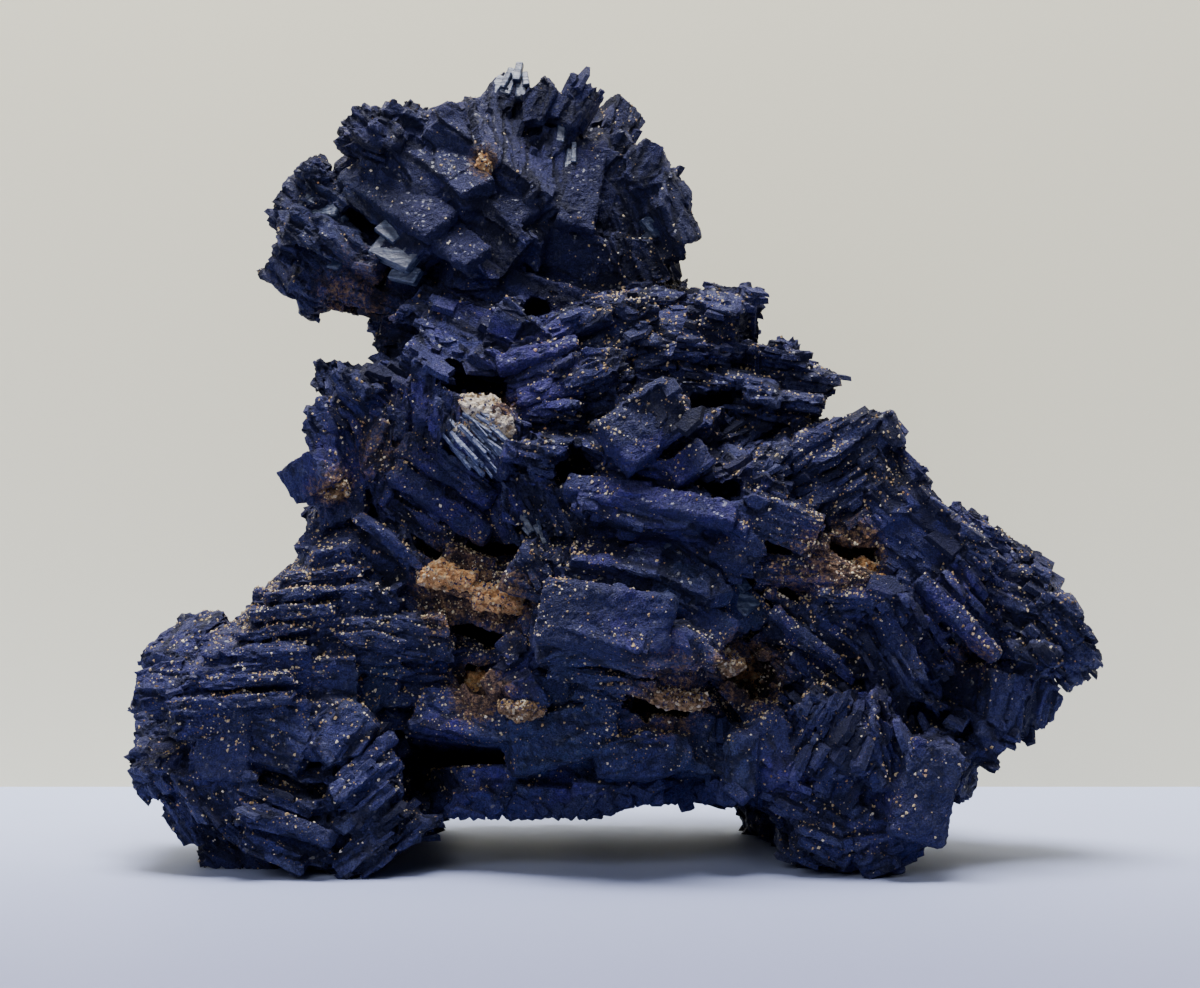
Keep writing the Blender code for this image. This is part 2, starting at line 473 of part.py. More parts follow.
def grow_elsewhere(growth):
    """Crystals over the sides, top, back and underside, spread evenly and set by the lie of the surface."""
    rng = growth.rng
    centre = Vector((0.0, 8.0, 34.0))
    reach = 120.0
    golden = math.pi * (3.0 - math.sqrt(5.0))
    for index in range(OUTCROPS):
        up = 1.0 - 2.0 * (index + 0.5) / OUTCROPS
        around = golden * index
        flat = math.sqrt(1.0 - up * up)
        out = Vector((flat * math.cos(around), flat * math.sin(around), up))
        hit, normal = growth.surface.ray_cast(centre + out * reach, -out)[:2]
        if hit is None or normal.y < FRONT or normal.z < UNDERSIDE or hit.z < LOWEST_OUTCROP:
            continue
        lie = (normal + Vector([rng.uniform(-0.4, 0.4) for _ in range(3)])).normalized()
        place = Matrix.Translation(hit) @ lie.to_track_quat("Z", "X").to_matrix().to_4x4()
        place @= Matrix.Rotation(rng.uniform(0.0, math.pi), 4, "Z")
        length = rng.uniform(7.0, 12.0)
        growth.crystal("outcrop", place, (length, length * rng.uniform(0.4, 0.7)), rng.uniform(1.8, 3.2))


# ---------------------------------------------------------------- hollows, feet and the finished solid


def cut_hollows(growth):
    growth.hollow("cave", (-14.4, 48.0), (6.6, 3.4), roll=-20, deep=9.0)
    growth.hollow("eye", (-7.4, 55.2), (2.6, 2.6), deep=8.0)
    growth.hollow("brow_gap", (-24.6, 63.4), (6.4, 1.8), roll=-38, deep=5.0)
    growth.hollow("under_rib", (-12.2, 31.2), (6.4, 1.8), roll=-12)
    growth.hollow("socket", (-13.6, 23.0), (5.6, 2.6), roll=-12)
    growth.hollow("socket_low", (-12.6, 18.4), (3.8, 2.6), roll=10)
    growth.hollow("notch", (-4.2, 39.4), (4.0, 3.4), roll=30)
    growth.hollow("under_shelf", (10.0, 46.0), (5.4, 2.0), roll=14)
    growth.hollow("under_block", (9.6, 37.8), (5.4, 1.8), roll=-26)
    growth.hollow("crack", (23.6, 30.8), (5.2, 2.0), roll=-20)
    growth.hollow("slot", (16.0, 25.8), (4.0, 2.0), roll=16)
    growth.hollow("pocket", (13.8, 19.0), (4.6, 4.0), roll=-30)
    growth.hollow("under_belly", (5.0, 15.2), (6.4, 1.8), roll=-4)
    growth.hollow("wing_gap", (32.6, 14.2), (4.6, 2.0), roll=-18)
    growth.hollow("plume_gap", (38.0, 20.6), (3.2, 1.8), roll=-10, deep=5.0)
    growth.hollow("chevron_gap", (-32.6, 7.6), (6.0, 1.4), roll=-20, deep=4.0)
    growth.hollow("knee_gap", (-20.8, 9.6), (3.4, 3.4), roll=20, deep=5.0)


def lay_bench(growth):
    """The slab that grinds the feet flat where they stand."""
    bm = bmesh.new()
    bmesh.ops.create_cube(bm, size=1.0)
    side = 2 * SPECIMEN_WIDTH
    bm.transform(Matrix.Translation((0.0, 0.0, -BENCH / 2)) @ Matrix.Diagonal((side, side, BENCH, 1.0)))
    helper_from(bm, "bench", growth.hollows)


def shells_of(bm):
    """The connected sets of faces, each as a list."""
    left = set(bm.faces)
    shells = []
    while left:
        shell = [left.pop()]
        for face in shell:
            for edge in face.edges:
                for other in edge.link_faces:
                    if other in left:
                        left.remove(other)
                        shell.append(other)
        shells.append(shell)
    return shells


def turn_doubled_edges(bm):
    """Where two faces were cut into triangles along one and the same line, turns the cut of the first."""
    for edge in [edge for edge in bm.edges if len(edge.link_faces) > 2]:
        first, *others = edge.link_faces
        twin = max(others, key=lambda face: face.normal.dot(first.normal))
        apex, far = (next(v for v in face.verts if v not in edge.verts) for face in (first, twin))
        corners = list(first.verts)
        start = corners[corners.index(apex) - 2]
        end = corners[corners.index(apex) - 1]
        bmesh.ops.delete(bm, geom=[first, twin], context="FACES_ONLY")
        bm.faces.new((apex, start, far))
        bm.faces.new((far, end, apex))


def keep_outer_shell(mesh):
    """Leaves the outer surface alone, in triangles: sealed voids between the crystals and crumbs go."""
    bm = bmesh.new()
    bm.from_mesh(mesh)
    bmesh.ops.remove_doubles(bm, verts=bm.verts, dist=WELD)
    shells = sorted(shells_of(bm), key=len)
    for shell in shells[:-1]:
        bmesh.ops.delete(bm, geom=shell, context="FACES")
    bmesh.ops.triangulate(bm, faces=bm.faces)
    turn_doubled_edges(bm)
    bm.to_mesh(mesh)
    bm.free()


def stand(mesh):
    """Sets the feet flat on the ground and the middle of the piece over the origin, in metres."""
    for vert in mesh.vertices:
        if vert.co.z < GROUND:
            vert.co.z = 0.0
    mesh.transform(Matrix.Scale(UNIT, 4) @ Matrix.Translation((-MIDDLE_X, -MIDDLE_Y, 0.0)))


def grown_body(growth):
    """The finished solid: crystals joined to the mass, hollows cut, feet ground flat and chips merged."""
    body = bpy.data.objects.new(BODY, growth.mass)
    new_collection("azurite_specimen").objects.link(body)
    boolean(body, "UNION", growth.growths)
    boolean(body, "DIFFERENCE", growth.hollows)
    body.data = evaluated_mesh(body)
    body.modifiers.clear()
    keep_outer_shell(body.data)
    chips = body.modifiers.new("chips", "DECIMATE")
    chips.ratio = TRIANGLES / len(body.data.polygons)
    body.data = evaluated_mesh(body)
    body.modifiers.clear()
    stand(body.data)
    body.data.name = BODY
    return body


def azurite():
    material = bpy.data.materials.new("azurite")
    material.use_nodes = True
    shader = material.node_tree.nodes["Principled BSDF"]
    shader.inputs["Base Color"].default_value = (0.012, 0.014, 0.055, 1.0)
    shader.inputs["Roughness"].default_value = 0.45
    shader.inputs["Metallic"].default_value = 0.0
    return material


def main():
    clear_scene()
    growth = Growth()
    lay_mass(growth)
    growth.trim_mass()
    grow_head(growth)
    grow_chest(growth)
    grow_middle(growth)
    grow_right(growth)
    grow_right_foot(growth)
    grow_left_foot(growth)
    grow_rim(growth)
    grow_elsewhere(growth)
    cut_hollows(growth)
    lay_bench(growth)
    lay_rump(growth)
    body = grown_body(growth)
    body.data.materials.clear()
    body.data.materials.append(azurite())


main()
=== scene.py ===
"""A craggy azurite specimen: a dark blue crystal cluster with clay in its hollows and sand on its crystals.

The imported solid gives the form. The crust laid over it follows the grain of each book of plates, which
the table of books below gives on a front elevation, in millimetres: x to the right, z up, depth away
from an eye in front.
"""

import math

import bpy
import numpy as np
from mathutils import Matrix, Vector
from mathutils.bvhtree import BVHTree


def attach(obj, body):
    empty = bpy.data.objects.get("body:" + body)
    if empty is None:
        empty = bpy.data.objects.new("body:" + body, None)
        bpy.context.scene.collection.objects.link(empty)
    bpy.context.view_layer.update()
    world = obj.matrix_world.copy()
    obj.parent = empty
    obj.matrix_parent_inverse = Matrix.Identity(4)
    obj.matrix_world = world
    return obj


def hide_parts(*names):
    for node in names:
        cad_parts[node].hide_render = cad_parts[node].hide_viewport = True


MM = 0.001
EYE = Vector((-1.2, -300.0, 39.0))  # of the front elevation
MIDDLE = Vector((0.21, 5.94, 0.0))  # the elevation's point that the solid's origin lies at
NODE = "azurite_cluster"

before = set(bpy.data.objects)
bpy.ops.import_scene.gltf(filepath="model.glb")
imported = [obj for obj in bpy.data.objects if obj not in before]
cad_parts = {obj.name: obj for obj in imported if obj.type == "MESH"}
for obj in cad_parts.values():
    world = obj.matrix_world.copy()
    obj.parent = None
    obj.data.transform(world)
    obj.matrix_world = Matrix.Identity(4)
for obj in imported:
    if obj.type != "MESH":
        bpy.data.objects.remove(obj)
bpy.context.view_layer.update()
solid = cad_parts[NODE]


# ---------------------------------------------------------------- node expressions


class Socket:
    """One output of a node. Arithmetic on it adds Math nodes, or Vector Math nodes for a vector."""

    def __init__(self, tree, output):
        self.tree = tree
        self.output = output

    def node(self, kind, settings=None, inputs=None, out=0):
        """Adds a node: its settings first, then the values or links of its sockets."""
        made = self.tree.nodes.new(kind)
        for name, value in (settings or {}).items():
            if name == "stops":
                ramp = made.color_ramp
                while len(ramp.elements) < len(value):
                    ramp.elements.new(1.0)
                for element, (place, colour) in zip(ramp.elements, value):
                    element.position = place
                    element.color = (*colour, 1.0)
            else:
                setattr(made, name, value)
        for name, value in (inputs or {}).items():
            if isinstance(value, Socket):
                self.tree.links.new(value.output, made.inputs[name])
            else:
                made.inputs[name].default_value = value
        return Socket(self.tree, made.outputs[out])

    def also(self, name):
        """Another output of the node that this one comes from."""
        return Socket(self.tree, self.output.node.outputs[name])

    def _sum(self, operation, first, second):
        vector = any(
            isinstance(value, tuple)
            or (isinstance(value, Socket) and value.output.type in ("VECTOR", "RGBA"))
            for value in (first, second)
        )
        kind = "ShaderNodeVectorMath" if vector else "ShaderNodeMath"
        return self.node(kind, {"operation": operation}, {0: first, 1: second})

    def __add__(self, other):
        return self._sum("ADD", self, other)

    def __sub__(self, other):
        return self._sum("SUBTRACT", self, other)

    def __mul__(self, other):
        if self.output.type == "VECTOR" and not isinstance(other, (Socket, tuple)):
            return self.node("ShaderNodeVectorMath", {"operation": "SCALE"}, {0: self, "Scale": other})
        return self._sum("MULTIPLY", self, other)

    def __radd__(self, other):
        return self._sum("ADD", other, self)

    def __rsub__(self, other):
        return self._sum("SUBTRACT", other, self)

    def __rmul__(self, other):
        return self * other

    def times(self, amount):
        """A vector scaled by a varying amount."""
        return self.node("ShaderNodeVectorMath", {"operation": "SCALE"}, {0: self, "Scale": amount})

    def dot(self, other):
        return self.node("ShaderNodeVectorMath", {"operation": "DOT_PRODUCT"}, {0: self, 1: other}, "Value")

    def math(self, operation, *others):
        return self.node("ShaderNodeMath", {"operation": operation}, dict(enumerate((self, *others))))

    def rise(self, low, high):
        """0 below low, 1 above high, smooth between."""
        return self.node(
            "ShaderNodeMapRange",
            {"interpolation_type": "SMOOTHSTEP"},
            {"Value": self, "From Min": low, "From Max": high},
        )

    def part(self, axis):
        return self.node("ShaderNodeSeparateXYZ", {}, {0: self}, axis)

    def noise(self, scale, detail=2.0, rough=0.5, out=0):
        inputs = {"Vector": self, "Scale": scale, "Detail": detail, "Roughness": rough}
        return self.node("ShaderNodeTexNoise", {}, inputs, out)

    def cells(self, scale, feature="F1", metric="EUCLIDEAN", jitter=1.0, out="Color"):
        settings = {"feature": feature}
        if feature == "F1":
            settings["distance"] = metric
        return self.node(
            "ShaderNodeTexVoronoi", settings, {"Vector": self, "Scale": scale, "Randomness": jitter}, out
        )


# ---------------------------------------------------------------- places


def at(x, z, depth):
    """The place, in metres, that the eye sees at (x, z) of the elevation, at this depth."""
    seen = EYE + (Vector((x, 0.0, z)) - EYE) * ((depth - EYE.y) / -EYE.y)
    return (seen - MIDDLE) * MM


def turned(roll):
    """Right and up on the elevation, turned by the roll."""
    right = Vector((math.cos(math.radians(roll)), 0.0, math.sin(math.radians(roll))))
    return right, Vector((-right.z, 0.0, right.x))


def grain(roll, lean):
    """A book's grain: along its plates in the elevation, and out of their faces, leant towards the eye."""
    along, upright = turned(roll)
    return along, upright * math.cos(math.radians(lean)) + Vector((0.0, -math.sin(math.radians(lean)), 0.0))


# x, z, depth, roll and lean in degrees, thickness of its plates in mm, how far they stand out in mm
BOOKS = (
    # head
    (-22.0, 65.0, 0.0, -42, 48, 1.7, 0.36),
    (-14.0, 64.0, 0.0, -46, 50, 1.9, 0.36),
    (-19.0, 70.0, 2.0, -38, 40, 1.5, 0.36),
    (-25.0, 73.0, 4.0, -26, 30, 0.7, 0.40),
    (-29.0, 62.0, 0.0, -30, 30, 0.8, 0.45),
    (-32.0, 59.0, 2.0, -35, 24, 0.7, 0.40),
    (-9.0, 73.0, 4.0, 66, 34, 1.0, 0.36),
    (-4.0, 67.0, 2.0, 78, 40, 1.2, 0.34),
    (1.0, 72.0, 4.0, 55, 30, 1.0, 0.36),
    (4.0, 64.0, 2.0, -70, 30, 0.7, 0.40),
    (-5.0, 60.0, 0.0, -30, 60, 1.2, 0.30),
    (-25.0, 56.5, 0.0, -14, 20, 0.7, 0.40),
    # chest
    (-15.0, 53.0, -4.0, -14, 46, 1.0, 0.36),
    (-21.0, 50.0, -5.0, -30, 36, 0.8, 0.40),
    (-27.0, 46.0, -4.0, -50, 24, 0.8, 0.40),
    (-28.5, 39.0, -4.0, -84, 24, 0.7, 0.20),
    (-23.0, 41.0, -8.0, 76, 18, 0.7, 0.36),
    (-18.5, 44.0, -10.0, 84, 10, 0.7, 0.40),
    (-12.0, 43.0, -10.0, -48, 16, 0.35, 0.26),
    (-17.0, 37.0, -11.0, -37, 12, 0.8, 0.42),
    (-20.0, 31.0, -10.0, -37, 16, 0.8, 0.42),
    (-6.0, 48.0, -8.0, 24, 30, 0.7, 0.46),
    (-6.0, 42.5, -12.0, -10, 22, 0.6, 0.46),
    (-8.0, 33.0, -12.0, -62, 20, 0.6, 0.50),
    # middle and belly
    (3.5, 43.0, -14.0, 36, 62, 1.1, 0.30),
    (3.0, 35.5, -16.0, -13, 34, 1.0, 0.34),
    (12.0, 31.0, -14.0, -26, 36, 0.9, 0.38),
    (1.0, 29.5, -18.0, -12, 48, 0.9, 0.36),
    (8.0, 27.0, -17.0, -32, 44, 0.9, 0.36),
    (-1.0, 24.0, -20.0, -12, 78, 1.2, 0.20),
    (7.0, 20.5, -17.0, -16, 60, 0.9, 0.34),
    (0.0, 17.0, -15.0, -9, 4, 0.7, 0.40),
    (12.5, 25.0, -14.0, -52, 56, 0.9, 0.34),
    (-9.5, 20.0, -13.0, 36, 50, 0.9, 0.36),
    (-9.0, 16.0, -12.0, -52, 60, 0.9, 0.34),
    (-13.0, 27.5, -10.0, -10, 40, 0.6, 0.50),
    (-2.0, 12.0, -13.0, 10, 10, 1.0, 0.30),
    (-15.0, 9.5, -11.0, -18, 20, 1.0, 0.32),
    (-4.0, 7.0, -12.0, -3, -10, 0.9, 0.32),
    (13.0, 10.0, -14.0, 84, 60, 1.1, 0.24),
    # ridge, shoulder and right stack
    (-2.0, 54.0, -5.0, 20, 34, 0.8, 0.46),
    (5.0, 55.0, -5.0, 4, 34, 0.8, 0.46),
    (10.0, 53.0, -5.0, -12, 26, 0.7, 0.48),
    (16.0, 48.0, -6.0, -11, 10, 0.6, 0.50),
    (14.0, 41.0, -10.0, 28, 30, 0.8, 0.44),
    (22.0, 39.0, -10.0, 31, 26, 0.9, 0.44),
    (29.0, 37.0, -8.0, -48, 34, 0.9, 0.40),
    (29.0, 32.5, -8.0, -36, 60, 1.0, 0.34),
    (17.0, 33.0, -12.0, -22, 24, 0.7, 0.46),
    (21.0, 28.5, -12.0, -6, 44, 0.6, 0.48),
    # wing
    (37.0, 31.0, -2.0, -38, 18, 0.7, 0.44),
    (41.0, 27.0, -4.0, -28, 36, 0.8, 0.40),
    (45.0, 23.0, -3.0, -44, 20, 0.7, 0.44),
    (36.0, 25.0, -7.0, -50, 12, 0.9, 0.42),
    (30.0, 21.0, -10.0, -62, 12, 0.9, 0.42),
    (39.5, 15.5, -5.0, 80, 50, 0.9, 0.38),
    (37.0, 11.5, -5.0, -24, 20, 0.7, 0.40),
    # right foot
    (20.0, 21.0, -14.0, -39, 12, 0.8, 0.44),
    (23.0, 11.0, -15.0, 60, 30, 0.9, 0.42),
    (28.0, 12.5, -13.0, -72, 20, 0.8, 0.42),
    (31.5, 7.0, -12.0, 74, 74, 1.2, 0.20),
    (18.0, 2.5, -13.0, -24, 16, 0.8, 0.40),
    (28.0, 1.5, -11.0, 22, 14, 0.8, 0.40),
    # left foot
    (-31.0, 27.0, -8.0, 7, 14, 0.28, 0.20),
    (-36.0, 19.0, -14.0, 4, 16, 0.28, 0.18),
    (-24.0, 19.5, -12.0, -8, 18, 0.5, 0.26),
    (-44.0, 14.0, -7.0, 16, 22, 0.5, 0.28),
    (-39.5, 11.0, -14.0, 4, 20, 0.30, 0.18),
    (-33.0, 11.0, -15.0, -15, 44, 0.6, 0.22),
    (-33.0, 5.0, -15.0, -20, 8, 0.8, 0.40),
    (-25.0, 6.5, -15.0, 38, 8, 0.8, 0.40),
    (-26.0, 13.0, -14.0, 40, 50, 0.9, 0.36),
    (-41.0, 4.0, -10.0, -50, 18, 0.8, 0.40),
    # back, from the head down
    (-12.0, 66.0, 20.0, -40, -36, 0.9, 0.42),
    (0.0, 62.0, 22.0, 60, -40, 0.9, 0.42),
    (-10.0, 52.0, 28.0, -34, -50, 1.0, 0.42),
    (2.0, 44.0, 30.0, -14, -46, 1.0, 0.42),
    (10.0, 36.0, 28.0, 24, -30, 0.9, 0.44),
    (-24.0, 30.0, 28.0, 40, -34, 0.9, 0.42),
    (16.0, 27.0, 30.0, -34, -40, 1.0, 0.42),
    (-24.0, 12.0, 30.0, 10, -24, 0.8, 0.42),
    (-2.0, 22.0, 24.0, -10, -20, 0.8, 0.42),
    (19.0, 11.0, 30.0, -16, -24, 0.8, 0.42),
    (38.0, 24.0, 12.0, -46, -20, 0.8, 0.42),
    (-44.0, 12.0, 10.0, 10, -10, 0.7, 0.42),
)


# ---------------------------------------------------------------- the crust


def only(obj):
    """Selects this object alone and makes it active."""
    bpy.ops.object.select_all(action="DESELECT")
    obj.select_set(True)
    bpy.context.view_layer.objects.active = obj


def added(primitive, **settings):
    """A new mesh from one of the primitives, selected alone."""
    bpy.ops.object.select_all(action="DESELECT")
    primitive(**settings)
    return bpy.context.object


def apply_modifiers(obj, last=None):
    """Applies its modifiers in order, and stops before the last where one is given."""
    only(obj)
    for modifier in list(obj.modifiers):
        if modifier == last:
            break
        bpy.ops.object.modifier_apply(modifier=modifier.name)


MERGED = 0.000001  # corners nearer than this, in metres, are one


def copy_of_solid(name):
    """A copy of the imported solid, with its loose triangles merged."""
    copy = solid.copy()
    copy.data = solid.data.copy()
    copy.name = name
    copy.parent = None
    bpy.context.scene.collection.objects.link(copy)
    only(copy)
    bpy.ops.object.mode_set(mode="EDIT")
    bpy.ops.mesh.select_all(action="SELECT")
    bpy.ops.mesh.remove_doubles(threshold=MERGED)
    bpy.ops.object.mode_set(mode="OBJECT")
    return copy


# where the look changes: x, z and radius on the elevation, and how strongly
ZONES = {
    "violet": (
        (-8.2, 49.0, 5.5, 1.0), (-16.0, 38.5, 7.0, 0.7), (-20.5, 44.0, 3.5, 0.9), (5.0, 35.0, 7.5, 0.8),
        (0.0, 26.0, 6.0, 0.6), (-3.5, 5.3, 4.0, 1.0), (-17.2, 12.1, 2.6, 0.9), (-12.2, 9.1, 2.0, 0.9),
        (17.8, 8.1, 3.0, 1.0), (34.5, 24.5, 5.5, 0.7), (27.0, 13.0, 6.0, 0.5), (-8.7, 18.4, 3.0, 0.7),
        (-27.0, 41.0, 4.0, 0.5), (-14.8, 53.0, 5.0, 0.4), (31.0, 5.0, 5.0, 0.5), (20.0, 24.0, 5.0, 0.4),
    ),
    "teal": (
        (-6.0, 12.0, 9.0, 0.8), (6.0, 28.5, 4.0, 0.8), (-28.0, 64.0, 6.0, 0.6), (-24.0, 17.5, 3.5, 0.8),
        (13.0, 25.0, 3.5, 0.7), (10.0, 12.0, 7.0, 0.6), (-30.0, 10.0, 6.0, 0.4), (4.0, 53.0, 5.0, 0.4),
    ),
    "earth": (
        (-28.0, 37.4, 2.4, 0.6), (-25.5, 56.2, 5.0, 0.5), (-15.0, 27.5, 5.0, 0.8), (-11.0, 26.0, 3.6, 0.7),
        (13.6, 18.8, 3.6, 0.9), (-13.2, 17.0, 3.0, 0.9), (23.6, 30.6, 3.6, 0.9), (6.0, 16.4, 4.6, 0.6),
        (19.0, 29.0, 5.0, 0.4), (-23.5, 41.6, 3.6, 0.5), (-12.4, 44.6, 2.6, 0.9), (-36.0, 24.0, 6.0, 0.25),
        (-12.8, 70.0, 1.6, 0.8), (36.0, 20.0, 3.0, 0.4),
    ),
    "druse": (  # rough with tiny crystals in place of plates
        (-6.0, 10.0, 9.0, 0.9), (-16.0, 10.5, 5.0, 0.8), (-24.0, 17.0, 4.0, 0.8), (8.0, 7.0, 5.0, 0.7),
        (-1.0, 22.5, 6.0, 0.5), (-5.0, 59.0, 5.0, 0.7), (0.0, 68.0, 6.0, 0.5), (-14.0, 27.0, 6.0, 0.7),
        (19.0, 29.0, 6.0, 0.6), (-28.0, 36.0, 5.0, 0.7), (-25.0, 56.0, 5.0, 0.5), (31.0, 6.0, 6.0, 0.6),
        (13.0, 10.0, 4.0, 0.5), (4.0, 16.0, 5.0, 0.6), (-21.0, 64.0, 6.0, 0.4), (-31.0, 5.0, 5.0, 0.3),
    ),
    "sand": (
        (-14.0, 27.0, 7.0, 1.0), (20.5, 29.0, 7.0, 1.0), (4.0, 53.0, 8.0, 0.55), (-31.0, 24.0, 9.0, 0.8),
        (-24.0, 19.0, 6.0, 0.6), (22.0, 38.0, 9.0, 0.5), (13.0, 18.5, 5.0, 1.0), (-23.5, 42.0, 5.0, 0.6),
        (3.0, 16.5, 7.0, 0.8), (19.0, 22.0, 7.0, 0.6), (-17.0, 14.0, 5.0, 0.6), (39.0, 26.0, 8.0, 0.5),
        (-5.0, 31.0, 4.0, 0.7), (0.0, 44.0, 9.0, 0.3), (-38.0, 16.0, 7.0, 0.5), (-36.0, 7.0, 8.0, 0.35),
        (24.0, 8.0, 8.0, 0.3), (9.0, 49.0, 7.0, 0.4), (-14.0, 10.0, 7.0, 0.4),
    ),
}
ZONE_REACH = 1.5  # how many of its radii a zone fades out at
SEEN_DEPTH = 14.0  # further back than this the zones of the front no longer count
SEEN_FADE = 6.0  # mm of depth over which they fade before it
BACK_SAND = 0.25
BOOK_REACH = (1.0, 0.6, 1.0)  # a place belongs to the nearest book, and depth counts for less
CUT_NEAR = 1.2  # how many grid steps from a cut side its corners lie at most
CUT_FACING = 0.9  # and how squarely they face it


def corners_of(mesh, name):
    values = np.empty(len(mesh.vertices) * 3)
    mesh.vertices.foreach_get(name, values)
    return values.reshape(-1, 3)


def write(mesh, name, values):
    """Keeps a number or a vector for each corner of the mesh."""
    vector = values.ndim == 2
    attribute = mesh.attributes.new(name, "FLOAT_VECTOR" if vector else "FLOAT", "POINT")
    attribute.data.foreach_set("vector" if vector else "value", values.ravel())


def write_all(mesh, name, value):
    """Keeps the same number or vector for every corner of the mesh."""
    value = np.array(value)
    write(mesh, name, np.broadcast_to(value, (len(mesh.vertices), *value.shape)))


def lay_grain(mesh, low, high, grid):
    """Writes on each corner the grain, plate thickness and relief of the book that it belongs to."""
    places = corners_of(mesh, "co")
    nearest = np.full(len(places), np.inf)
    book = np.zeros(len(places), int)
    for index, (x, z, depth, *rest) in enumerate(BOOKS):
        away = np.linalg.norm((places - np.array(at(x, z, depth))) * BOOK_REACH, axis=1)
        closer = away < nearest
        nearest[closer] = away[closer]
        book[closer] = index
    *_, rolls, leans, thicknesses, reliefs = zip(*BOOKS)
    alongs, faces = zip(*map(grain, rolls, leans))
    write(mesh, "along", np.array(alongs)[book])
    write(mesh, "face", np.array(faces)[book])
    write(mesh, "thick", np.array(thicknesses)[book])
    relief = np.array(reliefs)[book]
    normals = corners_of(mesh, "normal")
    for wall, outward in ((low, -1.0), (high, 1.0)):
        near = np.abs(places - np.array(wall) * MM) < CUT_NEAR * grid * MM
        facing = normals * outward > CUT_FACING
        relief[(near & facing).any(axis=1)] = 0.0  # a cut side stays flat
    write(mesh, "relief", relief)


def lay_zones(mesh):
    """Writes on each corner how far it lies in each of the zones, as they show on the elevation."""
    places = corners_of(mesh, "co") / MM + np.array(MIDDLE)
    spread = -EYE.y / (places[:, 1] - EYE.y)
    x = EYE.x + (places[:, 0] - EYE.x) * spread
    z = EYE.z + (places[:, 2] - EYE.z) * spread
    front = np.clip((SEEN_DEPTH - places[:, 1]) / SEEN_FADE, 0.0, 1.0)
    for name, zones in ZONES.items():
        strength = np.zeros(len(places))
        for middle_x, middle_z, radius, amount in zones:
            away = np.hypot(x - middle_x, z - middle_z) / radius
            strength = np.maximum(strength, amount * np.clip(ZONE_REACH - away, 0.0, 1.0))
        strength *= front
        if name == "sand":
            strength += BACK_SAND * (1.0 - front)
        write(mesh, name, strength)


# plates: their length and width in thicknesses, their own thickness in the book's, and how far they slant
BIG_PLATES = (6.0, 5.0, 1.7, 1.6)
SMALL_PLATES = (5.0, 4.0, 0.75, 1.4)
PLATE_JITTER = 0.85


def crust_nodes():
    """Steps the surface into plates along the grain: big ones, small ones on them, and gaps between."""
    start = new_tree("crust")
    place = start.node("GeometryNodeInputPosition") * (1 / MM)
    normal = start.node("GeometryNodeInputNormal")

    face = named(start, "face", "FLOAT_VECTOR")
    along = named(start, "along", "FLOAT_VECTOR")
    across = face.node("ShaderNodeVectorMath", {"operation": "CROSS_PRODUCT"}, {0: face, 1: along})
    thick = named(start, "thick", "FLOAT")
    relief = named(start, "relief", "FLOAT")
    bent = place + (place.noise(0.12, 2.0, out="Color") - (0.5, 0.5, 0.5)) * 1.6
    ragged = (place.noise(1.2, 2.0) - 0.5) * 0.30
    druse = named(start, "druse", "FLOAT")
    lumps = (place.noise(0.55, 4.0, 0.65) - 0.5) * 1.5 + (place.cells(1.5, out="Distance") - 0.5) * -0.36

    def plates(length, width, share, tilt):
        """Heights of plates, each with its own step and slant, and where their gaps and rims are."""
        unit = thick * share
        spot = start.node(
            "ShaderNodeCombineXYZ",
            {},
            {
                0: bent.dot(along).math("DIVIDE", unit * length),
                1: bent.dot(across).math("DIVIDE", unit * width),
                2: bent.dot(face).math("DIVIDE", unit),
            },
        )
        plate = spot.cells(1.0, metric="CHEBYCHEV", jitter=PLATE_JITTER)
        slant = (spot - plate.also("Position")).dot(plate - (0.5, 0.5, 0.5))
        step = plate.part("X") * 2.0 - 1.0
        edge = spot.cells(1.0, feature="DISTANCE_TO_EDGE", jitter=PLATE_JITTER, out="Distance")
        gap = 1.0 - edge.rise(0.0, 0.10)
        return step + slant * tilt, gap, edge.rise(0.06, 0.12) - edge.rise(0.14, 0.26)

    big, big_gap, big_rim = plates(*BIG_PLATES)
    small, small_gap, small_rim = plates(*SMALL_PLATES)
    grit = (place.noise(1.9, 3.0, 0.6) - 0.5) * 0.50 + (place.cells(1.7, out="Distance") - 0.5) * -0.20
    free = relief.rise(0.0, 0.1)
    stepped = big * 0.95 + small * 0.38 - big_gap * 0.6 - small_gap * 0.15 + ragged
    plated = relief * stepped + free * grit * 0.4
    drusy = free * lumps
    height = plated + (drusy - plated) * druse
    offset = normal.times(height * MM)
    moved = start.node("GeometryNodeSetPosition", {}, {"Geometry": start, "Offset": offset})
    # painted shade: darker in the gaps between plates and in the hollows of the crust
    deep = relief.rise(0.0, 0.3) * (big_gap + small_gap * 0.6 + (0.0 - height).rise(0.05, 0.5) * 0.8)
    # rims of the raised plate edges, lightened in the finish as painted highlight and as wear
    rim = relief.rise(0.0, 0.3) * (big_rim + small_rim * 0.7) * height.rise(-0.1, 0.3)
    kept = stored(stored(moved, "deep", deep), "rim", rim)
    return finish_tree(above_ground(kept))


def stored(geometry, name, value):
    """Keeps a number on the corners for the finish to use."""
    return geometry.node(
        "GeometryNodeStoreNamedAttribute",
        {"data_type": "FLOAT", "domain": "POINT"},
        {"Geometry": geometry, "Name": name, "Value": value},
    )


def above_ground(geometry):
    """Lifts to the ground whatever would reach below it."""
    place = geometry.node("GeometryNodeInputPosition")
    height = place.part("Z").math("MAXIMUM", 0.0)
    lifted = place.node("ShaderNodeCombineXYZ", {}, {0: place.part("X"), 1: place.part("Y"), 2: height})
    return geometry.node("GeometryNodeSetPosition", {}, {"Geometry": geometry, "Position": lifted})


